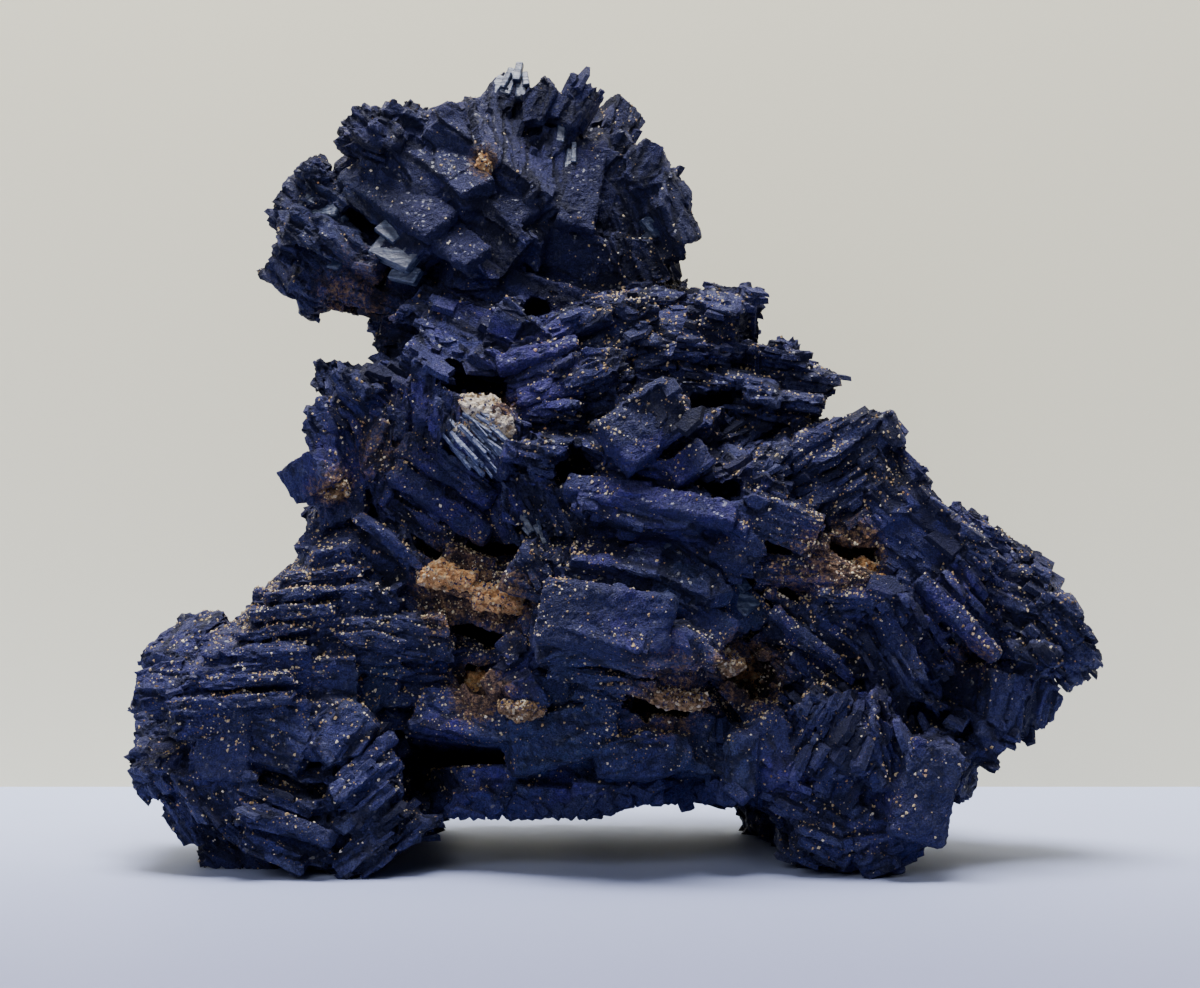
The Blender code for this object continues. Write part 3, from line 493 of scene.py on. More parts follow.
def box_of(low, high):
    """A plain box, in millimetres of the solid's own frame, that only takes part in a Boolean."""
    box = added(bpy.ops.mesh.primitive_cube_add, size=1.0)
    low, high = Vector(low) * MM, Vector(high) * MM
    box.data.transform(Matrix.Translation((low + high) / 2) @ Matrix.Diagonal((*(high - low), 1.0)))
    return box


def grow_crust(name, low, high, grid, triangles):
    """The crust of the part of the solid that lies in a box."""
    crust = copy_of_solid(name)
    box = box_of(low, high)
    share = crust.modifiers.new("share", "BOOLEAN")
    share.operation = "INTERSECT"
    share.object = box
    share.solver = "MANIFOLD"
    remesh = crust.modifiers.new("remesh", "REMESH")
    remesh.mode = "VOXEL"
    remesh.voxel_size = grid * MM
    apply_modifiers(crust)
    bpy.data.objects.remove(box)
    lay_grain(crust.data, low, high, grid)
    lay_zones(crust.data)
    step = crust.modifiers.new("plates", "NODES")
    step.node_group = crust_nodes()
    thin = crust.modifiers.new("thin", "DECIMATE")
    apply_modifiers(crust, thin)
    faces = sum(len(face.vertices) - 2 for face in crust.data.polygons)
    thin.ratio = min(1.0, triangles / faces)
    apply_modifiers(crust)
    return crust


# ---------------------------------------------------------------- small crystals and sand


def to_kind(obj, kinds, name):
    """Puts a modelled shape, a millimetre across, away as one of the kinds to be scattered."""
    obj.name = name
    obj.data.transform(Matrix.Scale(MM, 4))
    for collection in obj.users_collection:
        collection.objects.unlink(obj)
    kinds.objects.link(obj)


BLADES = ((4, 0.9, 0.10), (4, 0.6, -0.22), (5, 0.7, 0.12), (6, 0.6, -0.1))  # sides, width and slant
SHOULDER = 0.86  # how much smaller the upper face and the far end of a crystal are
GRAIN_KINDS = 3


def blade_kinds():
    """Tabular crystals a millimetre long, each with its own outline, bevelled towards one face."""
    kinds = bpy.data.collections.new("blade_kinds")
    for index, (sides, width, slant) in enumerate(BLADES):
        blade = added(bpy.ops.mesh.primitive_cylinder_add, vertices=sides, radius=0.5, depth=1.0)
        if sides == 4:
            blade.data.transform(Matrix.Rotation(math.radians(45), 4, "Z"))
        for vert in blade.data.vertices:
            broken = 1.1 + 0.16 * math.sin(2.3 * index + 5.1 * vert.co.x + 3.7 * vert.co.y)
            shoulder = SHOULDER if vert.co.z > 0.0 else 1.0
            vert.co.x = vert.co.x * broken * shoulder + slant * vert.co.y
            vert.co.y = vert.co.y * width * broken * shoulder
        to_kind(blade, kinds, f"blade_{index}")
    return kinds


def grain_kinds():
    """Grains of sand, a millimetre across, uneven."""
    kinds = bpy.data.collections.new("grain_kinds")
    for index in range(GRAIN_KINDS):
        made = added(bpy.ops.mesh.primitive_uv_sphere_add, segments=4 + index % 2, ring_count=3, radius=0.5)
        for vert in made.data.vertices:
            wave = 7.0 * vert.co.x + 2.0 * index + 9.0 * vert.co.y - 5.0 * vert.co.z
            vert.co *= 1.0 + 0.25 * math.sin(wave)
        to_kind(made, kinds, f"grain_{index}")
    return kinds


def new_tree(name):
    """A geometry tree with one geometry in and one out, and the socket that it starts from."""
    tree = bpy.data.node_groups.new(name, "GeometryNodeTree")
    tree.interface.new_socket("Geometry", in_out="INPUT", socket_type="NodeSocketGeometry")
    tree.interface.new_socket("Geometry", in_out="OUTPUT", socket_type="NodeSocketGeometry")
    return Socket(tree, tree.nodes.new("NodeGroupInput").outputs[0])


def finish_tree(last):
    end = last.tree.nodes.new("NodeGroupOutput")
    last.tree.links.new(last.output, end.inputs[0])
    return last.tree


def named(start, name, kind):
    return start.node("GeometryNodeInputNamedAttribute", {"data_type": kind}, {"Name": name})


def scattered(start, points, kinds, turn, scale):
    """Sets one of the kinds on each point, as real mesh."""
    kind = start.node("GeometryNodeCollectionInfo", {}, {"Separate Children": True, "Reset Children": True})
    kind.output.node.inputs["Collection"].default_value = kinds
    placed = start.node(
        "GeometryNodeInstanceOnPoints",
        {},
        {"Points": points, "Instance": kind, "Pick Instance": True, "Rotation": turn, "Scale": scale},
    )
    return placed.node("GeometryNodeRealizeInstances", {}, {"Geometry": placed})


def shaken(start, amount, seed):
    return start.node(
        "FunctionNodeRandomValue",
        {"data_type": "FLOAT_VECTOR"},
        {"Min": (-amount,) * 3, "Max": (amount,) * 3, "Seed": seed},
    )


def chance(start, seed):
    return start.node("FunctionNodeRandomValue", {"data_type": "FLOAT"}, {"Seed": seed}, 1)


def without(points, selection):
    return points.node(
        "GeometryNodeDeleteGeometry", {"domain": "POINT"}, {"Geometry": points, "Selection": selection}
    )


TOO_DRUSY = 0.8  # no blades where the druse, plus chance, is above this
TOO_FLAT = 0.24  # nor where the relief is below this
BLADE_SWING = (0.07, 0.22)  # how far a blade's face and its length stray from the grain
BLADE_LENGTH = (1.2, 3.4)  # in plate thicknesses: the least, and how much longer the longest is
BLADE_WIDTH = (0.6, 0.4)  # the same of its length
BLADE_THICKNESS = (0.40, 0.55)  # the same of a plate's


def blade_nodes(kinds, per_mm2, seed):
    """Small crystals along the grain, big ones few and small ones many."""
    start = new_tree("blades")
    points = start.node(
        "GeometryNodeDistributePointsOnFaces", {}, {"Mesh": start, "Density": per_mm2 / MM**2, "Seed": seed}
    )
    face = named(start, "face", "FLOAT_VECTOR")
    along = named(start, "along", "FLOAT_VECTOR")
    thick = named(start, "thick", "FLOAT")
    bare = named(start, "druse", "FLOAT") + chance(start, seed + 7) * 0.7
    kept = without(points, bare.math("GREATER_THAN", TOO_DRUSY))
    kept = without(kept, named(start, "relief", "FLOAT").math("LESS_THAN", TOO_FLAT))
    turn = start.node(
        "FunctionNodeAxesToRotation",
        {"primary_axis": "Z", "secondary_axis": "X"},
        {
            "Primary Axis": face + shaken(start, BLADE_SWING[0], seed + 2),
            "Secondary Axis": along + shaken(start, BLADE_SWING[1], seed + 3),
        },
    )
    luck = chance(start, seed + 1)
    length = thick * (luck * luck * luck * BLADE_LENGTH[1] + BLADE_LENGTH[0])
    width = length * (chance(start, seed + 4) * BLADE_WIDTH[1] + BLADE_WIDTH[0])
    height = thick * (chance(start, seed + 5) * BLADE_THICKNESS[1] + BLADE_THICKNESS[0])
    scale = start.node("ShaderNodeCombineXYZ", {}, {0: length, 1: width, 2: height})
    return finish_tree(above_ground(scattered(start, kept, kinds, turn, scale)))


SAND_PER_MM2 = 5.0  # where it lies thickest
CHIPS_PER_MM2 = 3.0
STRAY_SAND = 0.05  # the little that lies outside its zones
SAND_SIZE = (0.15, 0.30)  # mm: the smallest grain, and how much bigger the biggest is
GRAIN_SHAPE = (1.0, 0.8, 0.7)


def sand_nodes(kinds, per_mm2, seed):
    """Grains of sand, thickest where the sand attribute says, on what faces up or out."""
    start = new_tree("sand")
    patchy = (start.node("GeometryNodeInputPosition") * (1 / MM)).noise(0.45, 4.0, 0.65).rise(0.42, 0.64)
    upward = start.node("GeometryNodeInputNormal").part("Z").rise(-0.5, 0.7)
    amount = (named(start, "sand", "FLOAT") + STRAY_SAND) * (patchy * 1.5 + 0.12) * upward
    points = start.node(
        "GeometryNodeDistributePointsOnFaces",
        {},
        {"Mesh": start, "Density": amount * (per_mm2 / MM**2), "Seed": seed},
    )
    luck = chance(start, seed + 1)
    size = luck * luck * SAND_SIZE[1] + SAND_SIZE[0]
    turn = start.node("ShaderNodeCombineXYZ", {}, {0: luck * 40.0, 1: luck * 23.0, 2: luck * 61.0})
    sides = {axis: size * share for axis, share in enumerate(GRAIN_SHAPE)}
    scale = start.node("ShaderNodeCombineXYZ", {}, sides)
    return finish_tree(above_ground(scattered(start, points, kinds, turn, scale)))


def scatter(name, source, tree):
    """A copy of a crust, turned into the small things that its nodes scatter over it."""
    only(source)
    bpy.ops.object.duplicate()
    made = bpy.context.object
    made.name = name
    spread = made.modifiers.new("spread", "NODES")
    spread.node_group = tree
    apply_modifiers(made)
    return made


# ---------------------------------------------------------------- clay and clean crystals


def seen_surface(crusts):
    """Finds where the eye meets the crust at (x, z) of the elevation."""
    graph = bpy.context.evaluated_depsgraph_get()
    trees = [BVHTree.FromObject(crust, graph) for crust in crusts]
    eye = (EYE - MIDDLE) * MM

    def met(x, z):
        hits = [tree.ray_cast(eye, (at(x, z, 0.0) - eye).normalized()) for tree in trees]
        nearest = min((hit for hit in hits if hit[0] is not None), key=lambda hit: hit[3])
        return nearest[0]

    return met


# roughness: how big its bumps are and how strong, in mm
CLAY_ROUGH = ((1.6, 1.8), (0.6, 0.7), (0.25, 0.35))
SLAB_ROUGH = ((2.6, 0.9), (0.8, 0.4), (0.3, 0.2))


def roughen(obj, name, octaves, scales):
    """Displaces a shape by clouds of several sizes."""
    for size, strength in scales:
        texture = bpy.data.textures.new(f"{name}_{size}", "CLOUDS")
        texture.noise_scale = size * MM
        texture.noise_depth = octaves
        rough = obj.modifiers.new("rough", "DISPLACE")
        rough.texture = texture
        rough.texture_coords = "LOCAL"
        rough.strength = strength * MM
        rough.mid_level = 0.5


SUNK = Vector((0.0, 0.6, -0.2)) * MM  # how far a lump of clay sits behind the crust around it
CLAY_SAND = 1.6  # how thickly it is strewn


def clay(name, place, radii, roll):
    """A crumbly lump of clay: a ball pressed into the hollow that holds it."""
    lump = added(bpy.ops.mesh.primitive_ico_sphere_add, subdivisions=5, radius=1.0)
    lump.name = name
    turn = Matrix.Rotation(math.radians(-roll), 4, "Y")
    lump.data.transform(Matrix.Translation(place) @ turn @ Matrix.Diagonal((*(Vector(radii) * MM), 1.0)))
    roughen(lump, name, 3, CLAY_ROUGH)
    apply_modifiers(lump)
    write_all(lump.data, "sand", CLAY_SAND)
    return lump


CRYSTAL_SKEW = 0.10  # how far its sides are out of square
CRYSTAL_BEVEL = 0.12  # of its thinnest side


def crystal(name, place, size, roll, lean, turn):
    """A clean tabular crystal with bevelled edges: its length rolled in the elevation, its face leant up."""
    made = added(bpy.ops.mesh.primitive_cube_add, size=1.0)
    made.name = name
    for vert in made.data.vertices:
        end = SHOULDER if vert.co.x > 0.0 else 1.0
        vert.co.y = vert.co.y * end + CRYSTAL_SKEW * vert.co.x
    made.data.transform(Matrix.Diagonal((*(Vector(size) * MM), 1.0)))
    edges = made.modifiers.new("edges", "BEVEL")
    edges.width = CRYSTAL_BEVEL * min(size) * MM
    edges.segments = 1
    apply_modifiers(made)
    to_eye = Matrix.Rotation(math.radians(90), 4, "X")
    rolled = Matrix.Rotation(math.radians(-roll), 4, "Y")
    leant = Matrix.Rotation(math.radians(-lean), 4, "X")
    swung = Matrix.Rotation(math.radians(turn), 4, "Z")
    lie = swung @ leant @ rolled @ to_eye
    made.data.transform(Matrix.Translation(place) @ lie)
    write_all(made.data, "along", lie.to_3x3() @ Vector((1.0, 0.0, 0.0)))
    return made


def joined(name, pieces):
    """Makes one piece of them, under this name."""
    only(pieces[0])
    for piece in pieces:
        piece.select_set(True)
    if len(pieces) > 1:
        bpy.ops.object.join()
    bpy.context.object.name = name
    return bpy.context.object


# x, z, then radii along, in depth and up, and the roll
CLAY = {
    "cream": (
        (-12.6, 44.9, (2.7, 1.6, 1.7), -30),
        (-10.6, 43.6, (1.3, 1.2, 1.2), -60),
    ),
    "pale": ((-13.2, 41.9, (3.2, 0.5, 2.0), -48),),
    "orange": (
        (13.5, 18.6, (3.2, 2.0, 2.6), -20),
        (-13.2, 17.2, (2.6, 1.7, 1.9), 10),
        (-16.2, 28.4, (3.2, 1.6, 1.4), -10),
        (-11.6, 26.4, (3.0, 1.6, 1.4), -14),
        (23.2, 30.9, (3.0, 1.7, 1.4), -24),
        (26.0, 29.0, (1.9, 1.2, 1.0), -30),
        (-12.9, 70.2, (0.7, 0.9, 1.9), -4),
    ),
    "brown": (
        (6.0, 16.6, (3.8, 1.6, 1.1), -8),
        (11.0, 20.6, (2.4, 1.4, 1.1), -30),
        (-27.6, 37.4, (1.5, 0.9, 1.2), 20),
        (-9.0, 15.4, (2.2, 1.4, 1.0), 0),
    ),
}
# x, z, length, width and thickness, roll, lean and turn
CLEAN_CRYSTALS = (
    (-28.8, 65.0, (3.6, 1.7, 1.2), -12, 30, -20),
    (-21.6, 60.8, (4.8, 3.0, 1.4), -32, 24, -10),
    (-27.8, 59.6, (2.0, 1.3, 1.0), -20, 30, -20),
    (-11.6, 77.2, (3.0, 1.2, 1.0), 62, 30, -10),
    (-10.3, 77.8, (3.4, 1.3, 1.0), 72, 30, 0),
    (-9.2, 77.2, (2.6, 1.1, 1.0), 84, 30, 10),
    (4.3, 63.6, (2.4, 2.4, 1.2), -60, 10, 20),
    (-5.0, 73.4, (3.6, 0.9, 0.8), 82, 20, 0),
    (-4.4, 69.6, (3.4, 0.8, 0.8), 78, 20, 5),
    (12.8, 26.0, (3.2, 2.6, 1.2), -52, 26, 16),
    (-8.6, 33.8, (2.4, 0.7, 0.7), -60, 20, 0),
    (-7.2, 32.6, (2.2, 0.6, 0.7), -66, 20, 0),
    (5.6, 31.6, (0.9, 0.7, 0.6), 20, 30, 0),
    (2.8, 31.1, (0.7, 0.6, 0.6), 40, 30, 0),
)
# the big single slabs: x, z, length, width and thickness, roll, lean and turn
SLABS = (
    # ribs of the chest
    (-16.6, 38.9, (10.6, 2.7, 2.4), -36, 14, 4),
    (-17.2, 35.6, (11.6, 2.3, 2.4), -37, 14, 4),
    (-19.6, 33.6, (8.4, 1.7, 2.2), -36, 16, 0),
    (-13.0, 40.4, (6.0, 1.8, 2.0), -37, 12, 6),
    (-21.0, 44.6, (5.4, 1.8, 2.0), 84, 12, -8),
    (-18.9, 46.2, (4.4, 1.7, 2.0), 80, 12, 0),
    # block, ledges and shelf in the middle
    (3.2, 43.4, (8.4, 6.0, 3.2), 34, 22, 10),
    (7.6, 39.6, (4.6, 3.0, 2.4), 34, 24, 6),
    (4.6, 35.6, (15.4, 3.0, 2.2), -14, 40, 0),
    (-1.6, 37.0, (6.0, 2.4, 2.4), -12, 34, 0),
    (11.8, 30.6, (3.2, 2.6, 2.4), -22, 24, 8),
    (-6.2, 46.6, (6.6, 2.0, 2.2), 8, 26, 0),
    (-5.6, 43.6, (5.4, 1.8, 2.2), -4, 26, 0),
    (-7.4, 50.6, (8.4, 1.8, 2.2), 16, 26, 0),
    # big smooth faces of the belly
    (-0.6, 24.2, (12.6, 6.4, 3.0), -10, 8, -4),
    (9.0, 23.6, (6.0, 4.6, 2.6), -34, 16, 10),
    (13.6, 25.4, (4.6, 3.0, 2.4), -52, 24, 14),
    (-10.2, 18.8, (6.0, 2.4, 2.2), 40, 20, -6),
    # blades of the right stack
    (13.6, 42.4, (9.0, 1.9, 2.2), 32, 24, 8),
    (17.4, 40.2, (10.6, 1.8, 2.2), 31, 24, 8),
    (21.4, 41.6, (9.0, 1.8, 2.2), 30, 26, 10),
    (23.0, 37.6, (8.4, 1.7, 2.2), 30, 24, 10),
    (19.6, 35.6, (8.0, 1.6, 2.2), 28, 24, 8),
    # riffles and sail of the right foot, wing
    (18.6, 24.6, (7.4, 1.2, 2.2), -40, 14, 4),
    (19.4, 22.4, (8.0, 1.2, 2.2), -39, 14, 4),
    (19.8, 20.2, (8.0, 1.2, 2.2), -38, 14, 4),
    (20.8, 18.2, (7.0, 1.2, 2.2), -38, 14, 4),
    (31.4, 6.8, (9.4, 5.6, 2.6), 74, 2, 10),
    (33.4, 25.4, (7.4, 1.6, 1.8), -52, 16, 14),
    (36.2, 22.6, (6.6, 1.8, 2.2), -48, 14, 14),
    (28.6, 21.8, (7.0, 2.2, 2.2), -60, 10, 8),
    # panels and chevrons of the left foot
    (-38.6, 12.4, (8.6, 5.6, 2.6), 84, 6, -10),
    (-30.4, 11.6, (8.6, 3.0, 2.4), -14, 8, -4),
    (-33.0, 8.6, (10.0, 1.9, 2.4), -18, 18, -6),
    (-24.6, 10.0, (6.8, 1.6, 2.2), 38, 18, 4),
    (-24.0, 7.4, (7.4, 1.6, 2.2), 38, 18, 4),
    (-32.4, 3.6, (9.0, 1.8, 2.2), -20, 16, -6),
    (-24.2, 16.6, (5.4, 3.6, 2.4), 40, 14, 4),
    # shingles of the head
    (-21.4, 66.4, (13.0, 5.2, 1.7), -41, 34, -8),
    (-17.0, 62.8, (11.0, 4.2, 1.6), -45, 38, -4),
    (-11.4, 66.6, (9.0, 4.4, 1.8), -52, 32, 4),
    (-3.0, 67.0, (9.0, 4.0, 1.8), 74, 24, 10),
)
SLAB_GRID = 0.24  # mm
SLAB_SHADE = 0.45  # how much darker they are than the crust around them
SLAB_SUNK = 0.42  # share of a slab's thickness that the middle of it lies behind the crust


def slab(x, z, size, roll, lean, turn, met):
    """A single thick crystal, worn and pitted."""
    sunk = Vector((0.0, SLAB_SUNK * size[2], 0.0)) * MM
    made = crystal("slab", met(x, z) + sunk, size, roll, lean, turn)
    finer = made.modifiers.new("finer", "REMESH")
    finer.mode = "VOXEL"
    finer.voxel_size = SLAB_GRID * MM
    roughen(made, "slab", 2, SLAB_ROUGH)
    apply_modifiers(made)
    # the slabs' own darker tone is kept in the same attribute as the painted crevice shade of the crust
    write_all(made.data, "deep", SLAB_SHADE)
    return made


# each clean crystal has smaller ones grown against it: share of its size, place along and across it, swing
GROWN = ((1.0, 0.0, 0.0, 0.0), (0.66, 0.40, -0.42, 12.0), (0.52, -0.36, 0.44, -15.0))
GROWN_SUNK = 0.45  # share of its thickness that the middle of it lies behind the crust


def grown(met, x, z, size, roll, lean, turn):
    """A clean crystal with two smaller ones against it, all three half buried in the crust."""
    made = []
    right, up = turned(roll)
    sunk = Vector((0.0, GROWN_SUNK * size[2], 0.0))
    for share, along, across, swing in GROWN:
        off = right * (size[0] * along) + up * (size[1] * across) + sunk
        shape = [side * share for side in size]
        made.append(crystal("clean", met(x, z) + off * MM, shape, roll + swing, lean, turn - swing))
    return made


def sway(index, pace):
    """From -1 to 1, and different from each small crystal to the next."""
    return math.sin(pace * index)


# lower edge of the keel: x and z on the elevation
HEM = ((-18.0, 4.1), (-12.0, 3.9), (-1.5, 4.0), (3.0, 5.4), (6.4, 5.5), (7.2, 4.4), (8.0, 5.5), (12.5, 5.4))
HEM_CRYSTALS = 84
HEM_HELD = 2.6  # how far above the edge the crust that holds them is met
HEM_SUNK = 1.0  # how far behind it they sit, and how much that varies
HEM_SUNK_SWAY = 0.8
HEM_DROP = -1.5
HEM_ROLL = -86  # degrees, close to hanging down
HEM_ROLL_SWAY = 60
HEM_LEAN = 20
HEM_TURN_SWAY = 30


def keel_hem(met):
    """Small crystals side by side that fringe the lower edge of the keel."""
    made = []
    low, high = HEM[0][0], HEM[-1][0]
    for index in range(HEM_CRYSTALS):
        x = low + (high - low) * index / (HEM_CRYSTALS - 1)
        edge = float(np.interp(x, *zip(*HEM)))
        luck = 0.5 + 0.5 * sway(index, 12.9)
        size = (1.6 + 1.2 * luck, 0.9 + 0.6 * sway(index, 4.3) ** 2, 0.9 + 0.5 * luck)
        off = Vector((0.0, HEM_SUNK + HEM_SUNK_SWAY * sway(index, 7.7), HEM_DROP + 0.4 * luck))
        roll = HEM_ROLL + HEM_ROLL_SWAY * sway(index, 5.1)
        place = met(x, edge + HEM_HELD) + off * MM
        made.append(crystal("hem", place, size, roll, HEM_LEAN, HEM_TURN_SWAY * sway(index, 3.3)))
    return joined("keel_hem", made)


SHEAF = (-13.1, 42.0)  # middle of the pale sheaf of thin crystals
SHEAF_ROLL = -48.0
SHEAF_WIDTH = 5.0
SHEAF_COUNT = 40
SHEAF_SLIP = 1.6  # how far they are out of line
SHEAF_LENGTH = 2.8  # and how much it varies
SHEAF_LENGTH_SWAY = 1.3
SHEAF_FAN = 14.0  # degrees that they spread over
SHEAF_LEAN = 26
SHEAF_TURN = 6


def pale_sheaf(met):
    """Thin crystals side by side, out of line with each other and broken at different lengths."""
    needles = []
    roll = math.radians(SHEAF_ROLL)
    middle = met(*SHEAF)
    for index in range(SHEAF_COUNT):
        share = index / (SHEAF_COUNT - 1) - 0.5
        slip = SHEAF_SLIP * sway(index, 5.0)
        off = SHEAF_WIDTH * share
        x = SHEAF[0] - off * math.sin(roll) + slip * math.cos(roll)
        z = SHEAF[1] + off * math.cos(roll) + slip * math.sin(roll)
        size = (SHEAF_LENGTH + SHEAF_LENGTH_SWAY * sway(index, 3.0), 0.26 + 0.10 * sway(index, 11.0), 0.7)
        place = middle + Vector((x - SHEAF[0], 0.35 * sway(index, 7.0), z - SHEAF[1])) * MM
        lie = SHEAF_ROLL + SHEAF_FAN * share + 7.0 * sway(index, 9.0)
        lean = SHEAF_LEAN + 8.0 * sway(index, 4.0)
        needles.append(crystal("needle", place, size, lie, lean, SHEAF_TURN))
    return joined("pale_sheaf", needles)


# ---------------------------------------------------------------- finishes


def new_finish(name, roughness, specular=0.5, ior=1.5):
    """A material, its shader, and the place on the piece in millimetres."""
    material = bpy.data.materials.new(name)
    material.use_nodes = True
    tree = material.node_tree
    shader = tree.nodes["Principled BSDF"]
    shader.inputs["Roughness"].default_value = roughness
    shader.inputs["Specular IOR Level"].default_value = specular
    shader.inputs["IOR"].default_value = ior
    place = Socket(tree, tree.nodes.new("ShaderNodeTexCoord").outputs["Object"]) * (1 / MM)
    return material, shader, place


def drive(shader, name, source):
    source.tree.links.new(source.output, shader.inputs[name])


def bump(shader, height, distance):
    """Raises the surface by the height, in millimetres."""
    made = height.node("ShaderNodeBump", {}, {"Height": height, "Distance": distance * MM, "Strength": 1.0})
    drive(shader, "Normal", made)


def mixed(factor, first, second):
    """Blends two colours, each a socket or its red, green and blue."""
    first, second = (tone if isinstance(tone, Socket) else (*tone, 1.0) for tone in (first, second))
    return factor.node("ShaderNodeMix", {"data_type": "RGBA"}, {"Factor": factor, 6: first, 7: second}, 2)


def attribute(place, name, out="Fac"):
    return place.node("ShaderNodeAttribute", {"attribute_name": name}, {}, out)


SAND_COLOURS = (
    (0.0, (0.10, 0.06, 0.03)),
    (0.2, (0.34, 0.22, 0.10)),
    (0.45, (0.52, 0.38, 0.20)),
    (0.7, (0.62, 0.52, 0.32)),
    (0.9, (0.78, 0.70, 0.54)),
    (1.0, (0.48, 0.22, 0.08)),
)


def sand_colour(pick):
    return pick.node("ShaderNodeValToRGB", {"stops": SAND_COLOURS}, {"Fac": pick})


AZURITE_IOR = 1.73
BLUES = ((0.013, 0.017, 0.085), (0.020, 0.022, 0.155))
STAINS = ((0.07, 0.038, 0.018), (0.32, 0.18, 0.08))
TEAL = (0.012, 0.042, 0.120)
VIOLET = (0.048, 0.024, 0.300)
SEAM = (0.006, 0.007, 0.030)
SPECKLE = (0.062, 0.069, 0.235)
RIM_HIGHLIGHT_AND_WEAR = (0.11, 0.12, 0.22)
DUST_AND_SHEEN = (0.22, 0.22, 0.30)
# painted shade for the crevices of the crust
PAINTED_CREVICE_SHADE = (0.003, 0.004, 0.013)
HEAD = (0.007, 0.008, 0.022)
HEAD_FROM = (54.0, 64.0)  # mm of height over which the darker blue of the head sets in
PAINTED_PIT_SHADE = (0.004, 0.005, 0.020)


def azurite_finish():
    """Dark blue crystal: finely layered, drusy, brighter where fresh, dusted and stained in its zones, with
    painted sheen on faces turned up, painted highlight and wear on rims, and painted shade in crevices and
    pits.
    """
    material, shader, place = new_finish("azurite", 0.75, 0.16, AZURITE_IOR)
    shader.inputs["Coat Roughness"].default_value = 0.25
    face = attribute(place, "face", "Vector")
    along = attribute(place, "along", "Vector")
    across = place.node("ShaderNodeVectorMath", {"operation": "CROSS_PRODUCT"}, {0: face, 1: along})
    ply = place.node(
        "ShaderNodeCombineXYZ",
        {},
        {0: place.dot(along) * 0.5, 1: place.dot(across) * 0.5, 2: place.dot(face) * 3.0},
    )
    layers = ply.noise(1.0, 4.0, 0.62)
    druse = place.cells(3.4)
    spark = druse.part("X")
    glint = druse.part("Y")
    fine = place.noise(2.6, 4.0, 0.65)
    grit = place.noise(6.5, 2.0, 0.6)
    blotch = place.noise(0.11, 4.0, 0.6)
    patch = place.noise(0.30, 3.0, 0.6)
    deep = attribute(place, "deep")
    violet = (attribute(place, "violet") * 0.8 + (blotch - 0.5) * 1.2 + (patch - 0.5) * 2.4).rise(0.15, 0.95)
    teal = (attribute(place, "teal") + (patch - 0.5) * 2.0).rise(0.25, 1.0)
    earth = (attribute(place, "earth") + (fine - 0.5) * 1.4 + (patch - 0.5) * 0.8).rise(0.30, 0.75)
    up = place.node("ShaderNodeNewGeometry", {}, {}, "Normal").part("Z").rise(-0.1, 0.95)
    # lighter grey-blue on faces turned up: dust, and painted sheen of the light from above
    dust_and_sheen = (up * 0.5 + (fine - 0.5) * 1.3 + (grit - 0.5) * 1.2 + (patch - 0.5) * 0.8).rise(0.15, 0.95)
    rim = attribute(place, "rim")
    speckle = (spark * 0.5 + grit * 0.9 + fine * 0.3).rise(0.45, 1.25)
    # darkest where the fine bump is lowest: painted shade in its pits
    pits = (1.0 - grit - fine * 0.5 + spark * 0.2).rise(0.22, 0.5)
    tone = mixed(blotch.rise(0.36, 0.64), *BLUES)
    for amount, over in (
        (teal * 0.6, TEAL),
        (violet * 0.75, VIOLET),
        (layers.rise(0.42, 0.66) * 0.35, SEAM),
        (speckle * 0.55, SPECKLE),
        # raised plate rims lighter: painted highlight, and worn edges
        (rim * (fine * 0.6 + 0.1), RIM_HIGHLIGHT_AND_WEAR),
        (dust_and_sheen * 0.20, DUST_AND_SHEEN),
        (earth * 0.85, mixed(fine.rise(0.4, 0.6), *STAINS)),
        # painted shade in the gaps and hollows of the crust, and on the slabs their darker tone
        (deep.rise(0.1, 1.0) * 0.75, PAINTED_CREVICE_SHADE),
        (place.part("Z").rise(*HEAD_FROM) * 0.35, HEAD),
        (pits * 0.6, PAINTED_PIT_SHADE),
    ):
        tone = mixed(amount, tone, over)
    fleck = place.cells(2.9, out="Distance")
    pick = fleck.also("Color")
    shown = attribute(place, "sand") * (patch.rise(0.40, 0.60) * 1.1 + 0.2) + rim * 0.12 + 0.05
    dot = (pick.part("X") * 0.20 + 0.12 - fleck).rise(0.0, 0.08)
    dotted = dot * (shown - pick.part("Y")).rise(0.0, 0.04)
    tone = mixed(dotted * 0.9, tone, sand_colour(pick.part("Z")))
    drive(shader, "Base Color", tone)
    drive(shader, "Roughness", 0.62 + (spark * 0.2) + earth * 0.15 + (fine - 0.5) * 0.2)
    drive(shader, "Coat Weight", glint.rise(0.86, 0.90) * 0.35 * (1.0 - earth))
    bump(shader, layers * 0.4 + fine * 0.8 + grit * 0.9 + spark * 0.4 + dotted * 0.3, 0.50)
    return material


def glassy_finish(name, low, high, roughness):
    """Clean crystal faces, striated along the crystal, that catch the light; their lighter tone is partly
    painted reflection.
    """
    material, shader, place = new_finish(name, roughness, 0.45, AZURITE_IOR)
    along = attribute(place, "along", "Vector")
    lines = place.node(
        "ShaderNodeCombineXYZ",
        {},
        {0: place.dot(along) * 0.3, 1: place.part("Z") * 3.0, 2: place.part("Y") * 3.0},
    )
    streaks = lines.noise(1.0, 3.0, 0.6)
    grit = place.noise(3.0, 4.0, 0.65)
    tone = mixed((streaks * 0.6 + grit * 0.4).rise(0.46, 0.64), low, high)
    drive(shader, "Base Color", tone)
    drive(shader, "Roughness", roughness - 0.1 + grit * 0.3)
    bump(shader, streaks + grit * 0.5, 0.16)
    return material


SAND_SHADE = (0.20, 0.14, 0.09)
CLAY_BLUE = (0.02, 0.025, 0.08)
CLAY_SHADE = (0.06, 0.035, 0.02)


